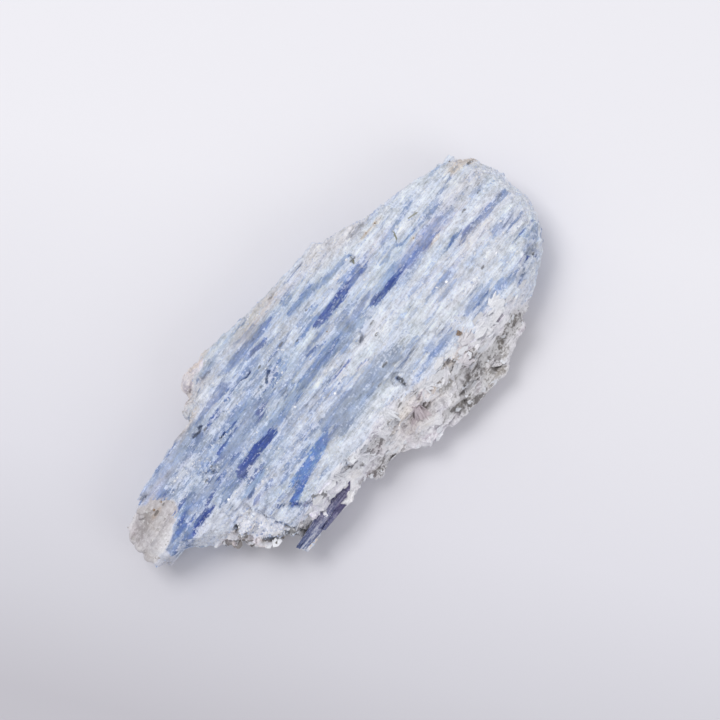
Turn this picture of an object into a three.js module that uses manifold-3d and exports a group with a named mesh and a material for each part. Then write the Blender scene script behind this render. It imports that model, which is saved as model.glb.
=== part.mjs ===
// A hand-sized slab of bladed kyanite, broken out of pale mica rock.
// One natural piece: long flat crystals grown side by side, with lumps of mica rock down the near
// flank, a knob of milky quartz at the narrow end and one violet crystal that shows under the edge.
//
// The frame is in millimetres, +Z up. The slab lies on its back: the blue face looks up, +X runs
// along the slab from its narrow end to its wide end, and the origin is under the middle of it.
import * as THREE from "three";
import { mergeVertices } from "three/addons/utils/BufferGeometryUtils.js";
import Module from "manifold-3d";

const wasm = await Module();
wasm.setup();

const { smoothstep, degToRad, lerp, clamp } = THREE.MathUtils;

// Driving dimensions.
const THICKNESS = 17; // from the flat that the slab rests on to its highest crystal
const GRAIN_TURN = degToRad(6); // the crystals run 6 degrees off the slab's length
const UNDERSIDE = 1.2; // the height of the broken underside round that flat
const SUNK = 0.7; // how far the rock between the crystals lies under their faces

// The slab's outline seen from above, counter-clockwise: x, y, the height of its widest level,
// then how far the upper face and the underside stand back from it.
const RIM = [
  [52.5, -2.4, 9, 2.2, 5], [52.3, 1.4, 9, 2.2, 5], [52.2, 5.2, 9.5, 2.2, 5], [50.6, 11.4, 10, 2.2, 5],
  [48, 13.6, 10.5, 1.8, 6], [44, 15.2, 11, 1.6, 6], [36.6, 16.8, 12, 1.4, 6], [27, 18, 12, 1.2, 6],
  [20.8, 20.4, 12, 1.2, 6.5], [12.7, 21.8, 12, 1.3, 7], [3, 21.6, 12, 1.3, 7], [-8.8, 22.5, 11.5, 1.6, 7],
  [-15.8, 23.3, 10.5, 2.8, 7], [-19.6, 23.4, 9, 4.2, 6], [-21, 22, 8.5, 4.2, 5], [-23.6, 18.8, 8.5, 3.2, 5],
  [-26.6, 15.5, 9, 1.6, 4], [-33.3, 14.5, 9.5, 1.4, 4], [-39, 13.2, 9, 1.5, 4], [-44.5, 12.5, 8, 2, 4],
  [-49.4, 10.6, 6.5, 2.6, 4], [-51, 7.6, 6, 2.8, 4], [-52.5, 2.4, 6, 2.6, 4], [-49.8, -2.5, 6, 2.2, 4],
  [-45.8, -3.5, 6, 2.2, 4], [-41.3, -4.7, 6, 2.4, 4], [-36, -8.8, 6, 2.6, 4], [-34.3, -12.4, 8, 2.2, 4],
  [-30.7, -14.2, 8, 2.2, 4], [-26.9, -16.4, 7.5, 2.6, 5], [-18.7, -18, 6.5, 3.2, 5], [-10.7, -18, 6, 3.8, 5],
  [-3.1, -19, 6, 4.6, 5], [2, -21, 5.5, 6, 5], [9.5, -23, 5.5, 7.2, 5], [18.4, -23.4, 5.5, 7.2, 5],
  [24.6, -22.6, 5.5, 6.8, 5], [29.6, -20.9, 6, 5.6, 5], [34.4, -18.2, 6.5, 4, 5], [40, -15.8, 7, 3, 5],
  [46.2, -12, 7.5, 2.6, 5], [50.2, -8.5, 8.5, 2.4, 5],
];
const SPINE = new THREE.Line3(new THREE.Vector3(-40, 4, 0), new THREE.Vector3(37, 0, 0));

// The flat that the slab rests on, as an outline in the crystals' frame.
const FOOT = [
  [27, -10.5], [31.5, -8.8], [30, -4.2], [33.5, -3], [32, 3.4], [28.5, 4.6], [29.5, 9.2], [16, 10.6],
  [8.5, 10.2], [-6, 11.4], [-19, 10.8], [-24, 8.6], [-31, 8], [-29.5, 3], [-33, 1.8], [-31.5, -2.6],
  [-27, -3.4], [-27.8, -7.4], [-14, -8.8], [-3, -8], [9, -10.2],
];

// Where the blue face breaks off above the lower shelf: its lowest s at t, and the drop.
const SHELF = { from: -4, s: -29.8, lean: -0.34, drop: 2.3 };

// The crystals of the blue face, in three sizes.
const FACE_CRYSTALS = [
  { count: 30, long: [20, 42], width: [2.6, 5.6], lift: [-0.5, 0.15], spread: 6 },
  { count: 30, long: [9, 22], width: [1.4, 2.8], lift: [-0.35, 0.4], spread: 10 },
  { count: 24, long: [4, 12], width: [0.9, 1.7], lift: [-0.2, 0.5], spread: 14 },
];

// The crystals' own frame: s runs along them and t across them.
const toGrain = ({ x, y }) => ({
  s: x * Math.cos(GRAIN_TURN) + y * Math.sin(GRAIN_TURN),
  t: y * Math.cos(GRAIN_TURN) - x * Math.sin(GRAIN_TURN),
});
const fromGrain = (s, t, z) =>
  new THREE.Vector3(s, t, z).applyAxisAngle(new THREE.Vector3(0, 0, 1), GRAIN_TURN);

// A fixed run of numbers, so that every build gives the same stone.
let drawn = 0;
function chance(low = 0, high = 1) {
  drawn += 1;
  const wave = Math.sin(drawn * 12.9898 + 4.1) * 43758.5453;
  return low + (high - low) * (wave - Math.floor(wave));
}

// The height of the blue face: nearly flat, falling towards the narrow end and both flanks, with
// a raised table on the wide end's near side and a lower shelf at the narrow end's near side.
const shelfEdge = (t) => SHELF.s + SHELF.lean * (t - SHELF.from);
function faceHeight(s, t) {
  const narrowEnd = 3.6 * (1 - smoothstep(s, -54, -12));
  const wideEnd = 1.4 * smoothstep(s, 32, 54);
  const farFlank = 1.2 * smoothstep(t, 10, 25);
  const nearFlank = 1.8 * smoothstep(-t, 7, 24);
  const table = 0.9 * smoothstep(s + 2.2 * t, 4, 9) * smoothstep(-t, -4, 0);
  const shelf = t < SHELF.from && s < shelfEdge(t) ? SHELF.drop : 0;
  return THICKNESS - 1.5 - narrowEnd - wideEnd - farFlank - nearFlank + table - shelf;
}

// Joins rings of points, each with as many points, into one closed geometry with a lid at each
// end. A lid is laid flat along its own normal to be divided into triangles.
function loft(rings) {
  const count = rings[0].length;
  const faces = [];
  for (let level = 0; level + 1 < rings.length; level += 1) {
    for (let i = 0; i < count; i += 1) {
      const a = level * count + i;
      const b = level * count + ((i + 1) % count);
      faces.push(a, b, b + count, a, b + count, a + count);
    }
  }
  const lid = (level) => {
    const ring = rings[level];
    const normal = new THREE.Vector3();
    ring.forEach((p, i) => normal.add(p.clone().cross(ring[(i + 1) % count])));
    const flat = new THREE.Quaternion().setFromUnitVectors(normal.normalize(), new THREE.Vector3(0, 0, 1));
    const outline = ring.map((p) => {
      const q = p.clone().applyQuaternion(flat);
      return new THREE.Vector2(q.x, q.y);
    });
    return THREE.ShapeUtils.triangulateShape(outline, []).map((f) => f.map((i) => i + level * count));
  };
  lid(0).forEach(([a, b, c]) => faces.push(a, c, b));
  lid(rings.length - 1).forEach(([a, b, c]) => faces.push(a, b, c));
  return new THREE.BufferGeometry().setFromPoints(rings.flat()).setIndex(faces);
}

// A closed three.js geometry as a solid.
function solid(geometry) {
  geometry.deleteAttribute("normal");
  geometry.deleteAttribute("uv");
  const merged = mergeVertices(geometry, 1e-4);
  return new wasm.Manifold(
    new wasm.Mesh({
      numProp: 3,
      vertProperties: merged.attributes.position.array,
      triVerts: new Uint32Array(merged.index.array),
    }),
  );
}

// A ring round the slab: each outline point moved towards the spine, at a height of its own.
function ring(inset, height, roughness) {
  return RIM.map(([x, y, widest, top, under]) => {
    const edge = new THREE.Vector3(x, y, 0);
    const middle = SPINE.closestPointToPoint(edge, true, new THREE.Vector3());
    const inward = middle.sub(edge);
    const back = inset({ widest, top, under, whole: inward.length() }) + chance(-roughness, roughness);
    const p = edge.addScaledVector(inward.normalize(), back);
    const { s, t } = toGrain(p);
    p.z = height({ widest, s, t }) + chance(-roughness, roughness) * 0.6;
    return p;
  });
}

// How far the flank stands back from the outline at a height.
const standBack = (z) => ({ widest, top, under }) =>
  z > widest ? top * clamp((z - widest) / (13.5 - widest), 0, 1) : under * ((widest - z) / (widest - UNDERSIDE)) ** 1.3;
const levelRing = (z) => ring(standBack(z), () => z, 0);

const topRing = ring(({ top }) => top, ({ s, t }) => faceHeight(s, t) - SUNK - 0.5, 0.25);

// The rock under and between the crystals.
function body() {
  const onFace = (share) =>
    ring(({ top, whole }) => lerp(top, whole, share), ({ s, t }) => faceHeight(s, t) - SUNK, 0.4);
  return solid(
    loft([
      ring(({ under }) => under, () => UNDERSIDE, 0.3),
      ring(({ under }) => under * 0.4, ({ widest }) => lerp(UNDERSIDE, widest, 0.5), 0.7),
      ring(() => 0, ({ widest }) => widest, 0),
      ring(({ top }) => top * 0.45, ({ widest, s, t }) => lerp(widest, faceHeight(s, t), 0.45), 0.45),
      topRing,
      onFace(0.3),
      onFace(0.65),
    ]),
  );
}

// One flat crystal. It lies along s with its face at heights top0 and top1, and its ends are
// broken off at a slant. Its section has six corners, because its long edges are bevelled.
function crystal({ s0, s1, t, top0, top1, width, depth, yaw, roll, bevel, taper, slant }) {
  const half = width / 2;
  const flat = half - bevel * half;
  const shoulder = -bevel * depth * 0.4;
  const section = [
    [half, -depth], [-half, -depth], [-half, shoulder], [-flat, 0], [flat, 0], [half, shoulder],
  ];
  const end = (x, share, lean) =>
    section.map(([y, z]) => new THREE.Vector3(x + lean * y + 0.4 * lean * z, y * share, z)).reverse();
  const long = s1 - s0;
  const geometry = loft([end(-long / 2, taper[0], slant[0]), end(long / 2, taper[1], slant[1])]);
  const turn = new THREE.Euler(roll, -Math.atan2(top1 - top0, long), GRAIN_TURN + yaw, "ZYX");
  geometry.applyMatrix4(new THREE.Matrix4().makeRotationFromEuler(turn));
  const place = fromGrain((s0 + s1) / 2, t, (top0 + top1) / 2);
  return solid(geometry.translate(place.x, place.y, place.z));
}

// The turns, bevel and broken ends that a crystal has by chance.
const grown = (spread) => ({
  yaw: degToRad(chance(-spread, spread) * 0.4),
  roll: degToRad(chance(-spread, spread)),
  bevel: chance(0.15, 0.6),
  taper: [chance(0.45, 1), chance(0.45, 1)],
  slant: [chance(-1, 1), chance(-1, 1)],
});

// Where a line across a ring of points meets it: along s at one t, or along t at one s.
function span(points, key, value) {
  const other = key === "t" ? "s" : "t";
  const grain = points.map(toGrain);
  const met = [];
  grain.forEach((a, i) => {
    const b = grain[(i + 1) % grain.length];
    if ((a[key] - value) * (b[key] - value) >= 0) return;
    met.push(lerp(a[other], b[other], (value - a[key]) / (b[key] - a[key])));
  });
  return met.length ? [Math.min(...met), Math.max(...met)] : null;
}

// A walk that spreads places evenly over a stretch without repeating.
const spreadOver = (low, high, i, step) => lerp(low, high, (0.5 + i * step) % 1);

function faceCrystals() {
  const made = [];
  let walk = 0;
  FACE_CRYSTALS.forEach(({ count, long, width, lift, spread }) => {
    for (let i = 0; i < count; i += 1) {
      walk += 1;
      const t = spreadOver(-21, 23, walk, 0.7548777);
      const ends = span(topRing, "t", t);
      if (!ends) continue;
      const low = t < SHELF.from ? Math.max(ends[0], shelfEdge(t)) : ends[0];
      const middle = spreadOver(low, ends[1], walk, 0.5698403);
      const half = chance(...long) / 2;
      const s0 = Math.max(middle - half, low + chance(-0.5, 1));
      const s1 = Math.min(middle + half, ends[1] + chance(-1.2, 0.3));
      if (s1 - s0 < 3) continue;
      const rise = chance(...lift);
      const top0 = faceHeight(s0, t) + rise + chance(-0.15, 0.15);
      const top1 = faceHeight(s1, t) + rise + chance(-0.15, 0.15);
      made.push(crystal({ ...grown(spread), s0, s1, t, top0, top1, width: chance(...width), depth: 3 }));
    }
  });
  return made;
}

// The short, broken crystals of the lower shelf.
function shelfCrystals() {
  const outline = levelRing(9);
  const made = [];
  for (let t = SHELF.from - 1.2; t > -14; t -= 1.7) {
    const s1 = shelfEdge(t) + 2;
    const s0 = Math.max(s1 - chance(6, 9), span(outline, "t", t)[0] - 0.2);
    const top = faceHeight(s1 - 3, t) + chance(-0.4, 0.4);
    made.push(crystal({ ...grown(14), s0, s1, t, top0: top - 0.6, top1: top + 0.7, width: 2.4, depth: 3.4 }));
  }
  return made;
}

// Long crystals seen edge-on down the far flank, standing out of it as ledges.
function farFlankCrystals() {
  const made = [];
  [3, 5.8, 8.6, 11.4].forEach((z, level) => {
    const outline = levelRing(z);
    for (let s = -45 + 4 * (level % 3); s < 46; s += chance(11, 18)) {
      const s1 = Math.min(s + chance(9, 22), 49);
      const from = span(outline, "s", s);
      const to = span(outline, "s", s1);
      if (!from || !to || s1 - s < 4) continue;
      const t = Math.min(from[1], to[1]) - chance(0.9, 1.5);
      const height = z + chance(0.3, 1.4);
      made.push(crystal({ ...grown(8), s0: s, s1, t, top0: height, top1: height, width: 3.2, depth: 2 }));
    }
  });
  return made;
}

// The crystals' broken ends, at the narrow end and the wide end under the blue face.
function endCrystals() {
  const made = [];
  [4, 7, 10].forEach((z, level) => {
    const outline = levelRing(z);
    [0, 1].forEach((end) => {
      const stretch = end ? [-14, 11] : [-4, 14];
      for (let t = stretch[0] + (level % 2); t < stretch[1]; t += chance(2.8, 4.4)) {
        const ends = span(outline, "t", t);
        if (!ends || (!end && z > 9)) continue;
        const out = ends[end] - (end ? 1 : -1) * chance(-0.3, 0.5);
        const [s0, s1] = end ? [out - 7, out] : [out, out + 7];
        const top = z + chance(0.2, 1.2);
        const width = chance(2.6, 5);
        const slant = [chance(-0.3, 0.3), chance(-0.3, 0.3)];
        made.push(crystal({ ...grown(8), slant, s0, s1, t, top0: top, top1: top, width, depth: 2.8 }));
      }
    });
  });
  return made;
}

// One angular lump of rock, in the crystals' frame.
function lump(s, t, z, size, flatness) {
  const geometry = new THREE.IcosahedronGeometry(1, 0);
  const scale = new THREE.Vector3(chance(0.9, 1.5), chance(0.75, 1.1), flatness * chance(0.8, 1.2));
  geometry.scale(scale.x * size, scale.y * size, scale.z * size);
  geometry.rotateX(chance(-0.7, 0.7)).rotateY(chance(-0.5, 0.5)).rotateZ(chance(0, 3));
  const place = fromGrain(s, t, z);
  return solid(geometry.translate(place.x, place.y, place.z));
}

// The mica rock that the crystals grew in, left down the near flank and at the far corner.
function rockLumps(side, count, [s0, s1], [low, high]) {
  const made = [];
  for (let i = 1; i <= count; i += 1) {
    const z = spreadOver(low, high, i, 0.7548777);
    const s = spreadOver(s0, s1, i, 0.5698403);
    const size = chance(1.5, 3.4);
    const t = span(levelRing(z), "s", s)[side] + (side ? -0.6 : 0.6) * size;
    made.push(lump(s, t, z, size, 0.75));
  }
  return made;
}

// The knob of milky quartz at the narrow end.
function knob() {
  return [
    [-44.4, 10, 8.4, 4.2], [-46.6, 8.8, 6.2, 3.2], [-41.2, 12, 8.6, 3.2], [-44.2, 13.4, 6.6, 3],
    [-42.6, 7.6, 9.2, 2.6], [-47.4, 6, 6, 2.8],
  ].map(([s, t, z, size]) => lump(s, t, z, size, 0.8));
}

// The violet crystal under the near edge, a blade that runs out to a point.
function violetCrystal() {
  return crystal({
    s0: -31, s1: -14, t: -15.9, top0: 7, top1: 9, width: 3.2, depth: 2.2,
    yaw: degToRad(1), roll: degToRad(16), bevel: 0.5, taper: [0.3, 1], slant: [1.2, 0],
  });
}

// The broken crystals and lumps of the underside. They all stay above the flat.
function undersideRelief() {
  const outline = levelRing(UNDERSIDE);
  const made = [];
  for (let i = 1; i <= 24; i += 1) {
    const t = spreadOver(-18, 17, i, 0.7548777);
    const ends = span(outline, "t", t);
    if (!ends) continue;
    const middle = spreadOver(...ends, i, 0.5698403);
    const half = chance(4, 13);
    const s0 = Math.max(middle - half, ends[0] + 0.8);
    const s1 = Math.min(middle + half, ends[1] - 0.8);
    if (s1 - s0 < 4) continue;
    const face = grown(4);
    const height = chance(0.3, 0.9);
    const width = chance(1.8, 4.4);
    made.push(
      crystal({ ...face, roll: face.roll + Math.PI, s0, s1, t, top0: height, top1: height, width, depth: 3 }),
    );
  }
  return made;
}

// The flat itself: the crystal faces that happen to lie level under the middle of the slab.
function foot() {
  const outline = (grow, z) => FOOT.map(([s, t]) => fromGrain(s + Math.sign(s) * grow, t + Math.sign(t) * grow, z));
  return solid(loft([outline(0, 0), outline(0.9, UNDERSIDE + 0.8)]));
}

// Open slits and pits, each as a crystal-shaped cut: s0, s1, t, the height of its floor, width, yaw.
const CUTS = [
  { s0: 6.4, s1: 8, t: -11.2, floor: 13.4, width: 3.6, yaw: 0.12 },
  { s0: 42.2, s1: 44.4, t: -16, floor: 10.2, width: 3.4, yaw: -0.5 },
  { s0: -26.9, s1: -24.1, t: 14.4, floor: 10.4, width: 1.5, yaw: 0.1 },
  { s0: -38.4, s1: -33.6, t: -4.6, floor: 8.2, width: 2.2, yaw: 0.3 },
  { s0: -30.6, s1: -18, t: 4.3, floor: 12.1, width: 0.7, yaw: 0.03 },
  { s0: 22, s1: 39, t: 6.2, floor: 13.6, width: 0.7, yaw: -0.02 },
  { s0: -2, s1: 14, t: -6.2, floor: 13.6, width: 0.7, yaw: 0.02 },
  { s0: -16, s1: -1, t: 9.4, floor: 13.2, width: 0.8, yaw: -0.03 },
];
const cuts = CUTS.map(({ s0, s1, t, floor, width, yaw }) =>
  crystal({
    s0, s1, t, top0: floor + 5, top1: floor + 5, width, depth: 5,
    yaw, roll: 0.1, bevel: 0, taper: [0.6, 0.8], slant: [0.3, -0.4],
  }),
);

// Everything grown together, with the cuts opened, and no sealed pocket or loose crumb left.
const grownTogether = wasm.Manifold.union([
  body(),
  ...faceCrystals(),
  ...shelfCrystals(),
  ...farFlankCrystals(),
  ...endCrystals(),
  ...rockLumps(0, 30, [-20, 46], [3.2, 11.8]),
  ...rockLumps(1, 9, [-25, -12], [3, 10]),
  ...knob(),
  violetCrystal(),
  ...undersideRelief(),
  foot(),
]);
const opened = grownTogether.subtract(wasm.Manifold.union(cuts));
const stone = opened.decompose().reduce((a, b) => (b.volume() > a.volume() ? b : a));

// A solid back as a three.js geometry, with the middle of its box over the origin.
function geometryOf(made) {
  const { vertProperties, triVerts } = made.getMesh();
  const geometry = new THREE.BufferGeometry();
  geometry.setAttribute("position", new THREE.BufferAttribute(vertProperties, 3));
  geometry.setIndex(new THREE.BufferAttribute(triVerts, 1));
  geometry.computeBoundingBox();
  const middle = geometry.boundingBox.getCenter(new THREE.Vector3());
  return geometry.translate(-middle.x, -middle.y, 0);
}

const kyanite = new THREE.Mesh(
  geometryOf(stone),
  new THREE.MeshStandardMaterial({ color: 0xb9c6dc, roughness: 0.6, metalness: 0 }),
);
kyanite.name = "kyanite";

const part = new THREE.Group();
part.add(kyanite);
export default part;
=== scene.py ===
import itertools
import math

import bmesh
import bpy
import numpy as np
from mathutils import Matrix, Vector
from mathutils.bvhtree import BVHTree


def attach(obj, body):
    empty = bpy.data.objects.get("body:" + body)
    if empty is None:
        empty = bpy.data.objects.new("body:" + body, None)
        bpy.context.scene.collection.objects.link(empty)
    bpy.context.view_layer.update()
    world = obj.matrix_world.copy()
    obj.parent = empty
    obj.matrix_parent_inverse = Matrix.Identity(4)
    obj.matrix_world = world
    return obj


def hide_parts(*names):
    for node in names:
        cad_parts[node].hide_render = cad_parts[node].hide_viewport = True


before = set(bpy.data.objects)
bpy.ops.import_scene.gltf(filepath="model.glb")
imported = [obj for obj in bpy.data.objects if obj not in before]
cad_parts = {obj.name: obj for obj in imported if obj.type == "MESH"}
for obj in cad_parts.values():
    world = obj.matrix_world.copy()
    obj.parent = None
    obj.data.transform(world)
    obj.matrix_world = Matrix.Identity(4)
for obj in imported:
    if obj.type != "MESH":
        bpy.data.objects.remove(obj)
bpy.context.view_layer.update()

# Camera. It looks down on the blue face from the photograph's angle: tipped 14 degrees towards the
# near flank, and rolled until the slab runs from the lower left of the frame to the upper right.
camera_tip = math.radians(14)
camera_roll = math.radians(46)
slab_along = Vector((1, 0, 0))
slab_across = Vector((0, math.cos(camera_tip), math.sin(camera_tip)))
camera_right = slab_along * math.cos(camera_roll) - slab_across * math.sin(camera_roll)
camera_up = slab_along * math.sin(camera_roll) + slab_across * math.cos(camera_roll)
camera_back = camera_right.cross(camera_up)
camera_aim = Vector((0.0058, -0.0003, 0.008))
camera_distance = 0.4
camera_turn = Matrix((camera_right, camera_up, camera_back)).transposed()
film_width = 36
view_width = 0.144

camera_data = bpy.data.cameras.new("camera")
camera_data.sensor_width = film_width
camera_data.lens = film_width * camera_distance / view_width
camera_data.clip_start = 0.01
camera = bpy.data.objects.new("camera", camera_data)
camera.matrix_world = Matrix.Translation(camera_aim + camera_back * camera_distance) @ camera_turn.to_4x4()
bpy.context.collection.objects.link(camera)
bpy.context.scene.camera = camera


# The stone's main mass: blades of kyanite grown side by side and broken out of mica rock.
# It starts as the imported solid, gets several hundred more blades grown onto it, is fused into one
# skin, and then every blade's face, every broken ledge and every lump of rock is worked into it.
grain_turn = math.radians(6)


def to_grain(points):
    """Row millimetres to the blades' own frame: s along the blades, t across them, z up."""
    cos, sin = math.cos(grain_turn), math.sin(grain_turn)
    x, y, z = points.T
    return np.stack([x * cos + y * sin, y * cos - x * sin, z], 1)


def from_grain(points):
    """The blades' own frame back to row millimetres."""
    cos, sin = math.cos(grain_turn), math.sin(grain_turn)
    s, t, z = points.T
    return np.stack([s * cos - t * sin, s * sin + t * cos, z], 1)


def dice(lattice, seed):
    """Three numbers from 0 to 1 for each box of a lattice, the same each time: what is left over
    when a sine of the box's place, many thousand times enlarged, has its whole part taken off."""
    mixing = np.array([[127.1, 269.5, 113.5], [311.7, 183.3, 271.9], [74.7, 246.1, 124.6]])
    wave = np.sin(lattice @ mixing + seed * 17.3) * 43758.5453
    return wave - np.floor(wave)


def cells(points, size, seed):
    """The cell that each point lies in, when every box of a lattice of that size holds one seed at
    random: the nearest seed's place, its three numbers, and how much further the next seed is."""
    scaled = points / np.asarray(size, float)
    corner = np.floor(scaled)
    nearest = np.full(len(points), 9.0)
    second = np.full(len(points), 9.0)
    place = np.zeros_like(scaled)
    numbers = np.zeros_like(scaled)
    for step in itertools.product((-1, 0, 1), repeat=3):
        box = corner + step
        seeds = box + 0.1 + 0.8 * dice(box, seed)
        away = ((scaled - seeds) ** 2).sum(1)
        closer = away < nearest
        second = np.where(closer, nearest, np.minimum(second, away))
        nearest = np.where(closer, away, nearest)
        place[closer] = seeds[closer]
        numbers[closer] = dice(box[closer], seed + 5)
    return place * size, numbers, np.sqrt(second) - np.sqrt(nearest)


def cloud(points, size, seed):
    """Smooth noise from 0 to 1: the numbers of a lattice's eight corners round each point, blended
    by smooth steps of the point's place between them."""
    scaled = points / np.asarray(size, float)
    corner = np.floor(scaled)
    part = scaled - corner
    part = part * part * (3 - 2 * part)
    total = np.zeros(len(points))
    for step in itertools.product((0, 1), repeat=3):
        share = np.prod(np.where(step, part, 1 - part), 1)
        total += share * dice(corner + step, seed)[:, 0]
    return total


def swayed(points, by, size, seed):
    """The points, each moved the same way on all three axes: by a distance times smooth noise from
    -0.5 to 0.5."""
    return points + by * (cloud(points, size, seed)[:, None] - 0.5)


def step_up(value, low, high):
    """0 below low, 1 above high, and a smooth rise between them."""
    part = np.clip((value - low) / (high - low), 0, 1)
    return part * part * (3 - 2 * part)


def unit(vectors):
    """The same directions, one long."""
    return vectors / np.maximum(np.linalg.norm(vectors, axis=1, keepdims=True), 1e-9)


def six_sided(corners):
    """Solids of twelve corners each, a ring of six below a ring of six: points and faces."""
    ring = [[k, (k + 1) % 6, (k + 1) % 6 + 6, k + 6] for k in range(6)]
    ends = [[5, 4, 3, 2, 1, 0], [6, 7, 8, 9, 10, 11]]
    faces = [[i * 12 + k for k in face] for i in range(len(corners)) for face in ring + ends]
    return corners.reshape(-1, 3), faces


def blades(centre, along, up, long, wide, deep, rng):
    """Six-cornered crystals with bevelled long edges and slanted, narrowed ends. Corner by corner:
    the centre, plus a way along, a way across and a way down from the flat face at the top."""
    across = np.cross(up, along)
    bevel = rng.uniform(0.2, 0.7, len(centre))
    none = np.zeros(len(centre))
    side = np.stack([none - 1, none + 1, none + 1, 1 - bevel, bevel - 1, none - 1], 1) / 2
    down = np.stack([none + 1, none + 1, bevel / 2, none, none, bevel / 2], 1)
    corners = []
    for end in (-1, 1):
        lean = rng.uniform(-0.9, 0.9, (len(centre), 1))
        taper = rng.uniform(0.35, 1, (len(centre), 1))
        slant = 0.4 * abs(lean) * down * deep[:, None]
        way = end * (long[:, None] / 2 - slant) + lean * side * wide[:, None]
        corners.append(
            centre[:, None]
            + way[..., None] * along[:, None]
            + (side * taper * wide[:, None])[..., None] * across[:, None]
            - (down * deep[:, None])[..., None] * up[:, None]
        )
    return six_sided(np.concatenate(corners, 1))


def scatter(points, faces, weight, count, rng):
    """Places spread over a surface by chance: its triangles are drawn by area times weight, and in
    each a place by chance. Returns the places, the normals there, and the faces' numbers."""
    a, b, c = (points[faces[:, k]] for k in range(3))
    normal = np.cross(b - a, c - a)
    area = np.linalg.norm(normal, axis=1)
    chosen = rng.choice(len(faces), count, p=area * weight / (area * weight).sum())
    u, v = rng.random((2, count))
    u, v = np.where(u + v > 1, 1 - u, u), np.where(u + v > 1, 1 - v, v)
    places = a[chosen] + u[:, None] * (b - a)[chosen] + v[:, None] * (c - a)[chosen]
    return places, normal[chosen] / area[chosen, None], chosen


def fitted(tree, seat, along, long, spare):
    """Blades' middles and lengths, after each end is drawn back until its tip stands no more than
    a spare distance outside the surface. No end gets shorter than a small part of what it was."""
    least = 0.12
    reach = []
    for end in (-1, 1):
        part = np.full(len(seat), least)
        free = np.ones(len(seat), bool)
        for share in (0.25, 0.4, 0.55, 0.7, 0.85, 1.0):
            tips = seat + along * (end * share * long / 2)[:, None]
            outside = []
            for tip in map(Vector, tips.tolist()):
                place, normal, _, off = tree.find_nearest(tip)
                outside.append(off * ((tip - place).dot(normal) > 0))
            free &= np.array(outside) < spare
            part[free] = share
        reach.append(part * long / 2)
    return seat + along * ((reach[1] - reach[0]) / 2)[:, None], reach[0] + reach[1]


def square_to(along, up):
    """The ways up, less what they share with the ways along, and one long."""
    return unit(up - (up * along).sum(1, keepdims=True) * along)


def laid_along(facing, rng, stray):
    """For blades that lie on a surface: their ways along, nearly the blades' common way, and their
    ways up, as near the surface's normal as that allows."""
    along = unit(np.array([1, 0, 0]) + rng.normal(0, stray, facing.shape) * [0, 1, 0.7])
    up = facing * [0.25, 1, 1] + rng.normal(0, 2.5 * stray, facing.shape)
    return along, square_to(along, up)


def mesh_object(name, points, faces):
    """A new object at the origin from points in the blades' frame, in millimetres."""
    mesh = bpy.data.meshes.new(name)
    mesh.from_pydata((from_grain(points) / 1000).tolist(), [], faces)
    piece = bpy.data.objects.new(name, mesh)
    bpy.context.collection.objects.link(piece)
    return piece


def skin(points, faces, voxel, squeeze):
    """The one closed skin round overlapping solids, as points and four-sided faces. The solids are
    squeezed along the blades first, so that the skin is finer across them than along them."""
    mesh = bpy.data.meshes.new("skin")
    mesh.from_pydata((points * squeeze).tolist(), [], faces)
    shell = bpy.data.objects.new("skin", mesh)
    bpy.context.collection.objects.link(shell)
    remesh = shell.modifiers.new("skin", "REMESH")
    remesh.mode = "VOXEL"
    remesh.voxel_size = voxel
    remesh.adaptivity = 0
    done = shell.evaluated_get(bpy.context.evaluated_depsgraph_get()).to_mesh()
    out = np.empty(len(done.vertices) * 3, np.float32)
    done.vertices.foreach_get("co", out)
    quads = np.array([tuple(face.vertices) for face in done.polygons])
    bpy.data.objects.remove(shell)
    bpy.data.meshes.remove(mesh)
    return out.reshape(-1, 3).astype(float) / squeeze, quads


def normals(points, quads):
    """Each point's normal: the sum of the crossed diagonals of the faces round it."""
    a, b, c, d = (points[quads[:, k]] for k in range(4))
    face = np.cross(c - a, d - b)
    total = np.zeros_like(points)
    for k in range(4):
        for axis in range(3):
            total[:, axis] += np.bincount(quads[:, k], face[:, axis], len(points))
    return unit(total)


def spread(values, quads, rounds):
    """Values at points, each averaged with its faces' other points, several times over."""
    count = np.bincount(quads.ravel(), minlength=len(values))
    for _ in range(rounds):
        face = values[quads].mean(1)
        values = np.bincount(quads.ravel(), np.repeat(face, 4), len(values)) / count
    return values


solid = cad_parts["kyanite"]
merged = bmesh.new()
merged.from_mesh(solid.data)
bmesh.ops.remove_doubles(merged, verts=merged.verts, dist=1e-7)
bmesh.ops.triangulate(merged, faces=merged.faces)
solid_points = to_grain(np.array([vertex.co for vertex in merged.verts]) * 1000)
solid_faces = np.array([[vertex.index for vertex in face.verts] for face in merged.faces])
merged.free()

# How far the rock reaches in from the near flank, as the blades' t at each s, how high it stands
# on that flank, and where the flank begins.
rock_s = [-40, -36, -30, -27, -15, -8, -2, 4, 10, 18, 30, 36, 44, 52]
rock_t = [-8, -9, -13, -12.1, -12.6, -13.2, -12.2, -12.8, -15.4, -16, -17, -20.5, -23, -24]
rock_top = [11.5, 11, 8.6, 8.6, 9, 10, 11, 11, 11.2, 11.2, 9.5, 6, 4.5, 4]
flank_s = [-46, -40, -32, -26]
flank_t = [2, 0, -3, -3]

# The milky knob at the narrow end, its foot beside it, and the broken edge over the white shelf.
knob_middle = [-46.4, 10.8, 8.0]
knob_reach = [9.2, 5.4, 6.5]
foot_middle = [-49.8, 5.4, 8.0]
foot_reach = [2.2, 3.4, 7.0]
shelf_edge_t = [-14, -11, -6.3, -3.6]
shelf_edge_s = [-27.2, -29.1, -30.2, -30.6]


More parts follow.
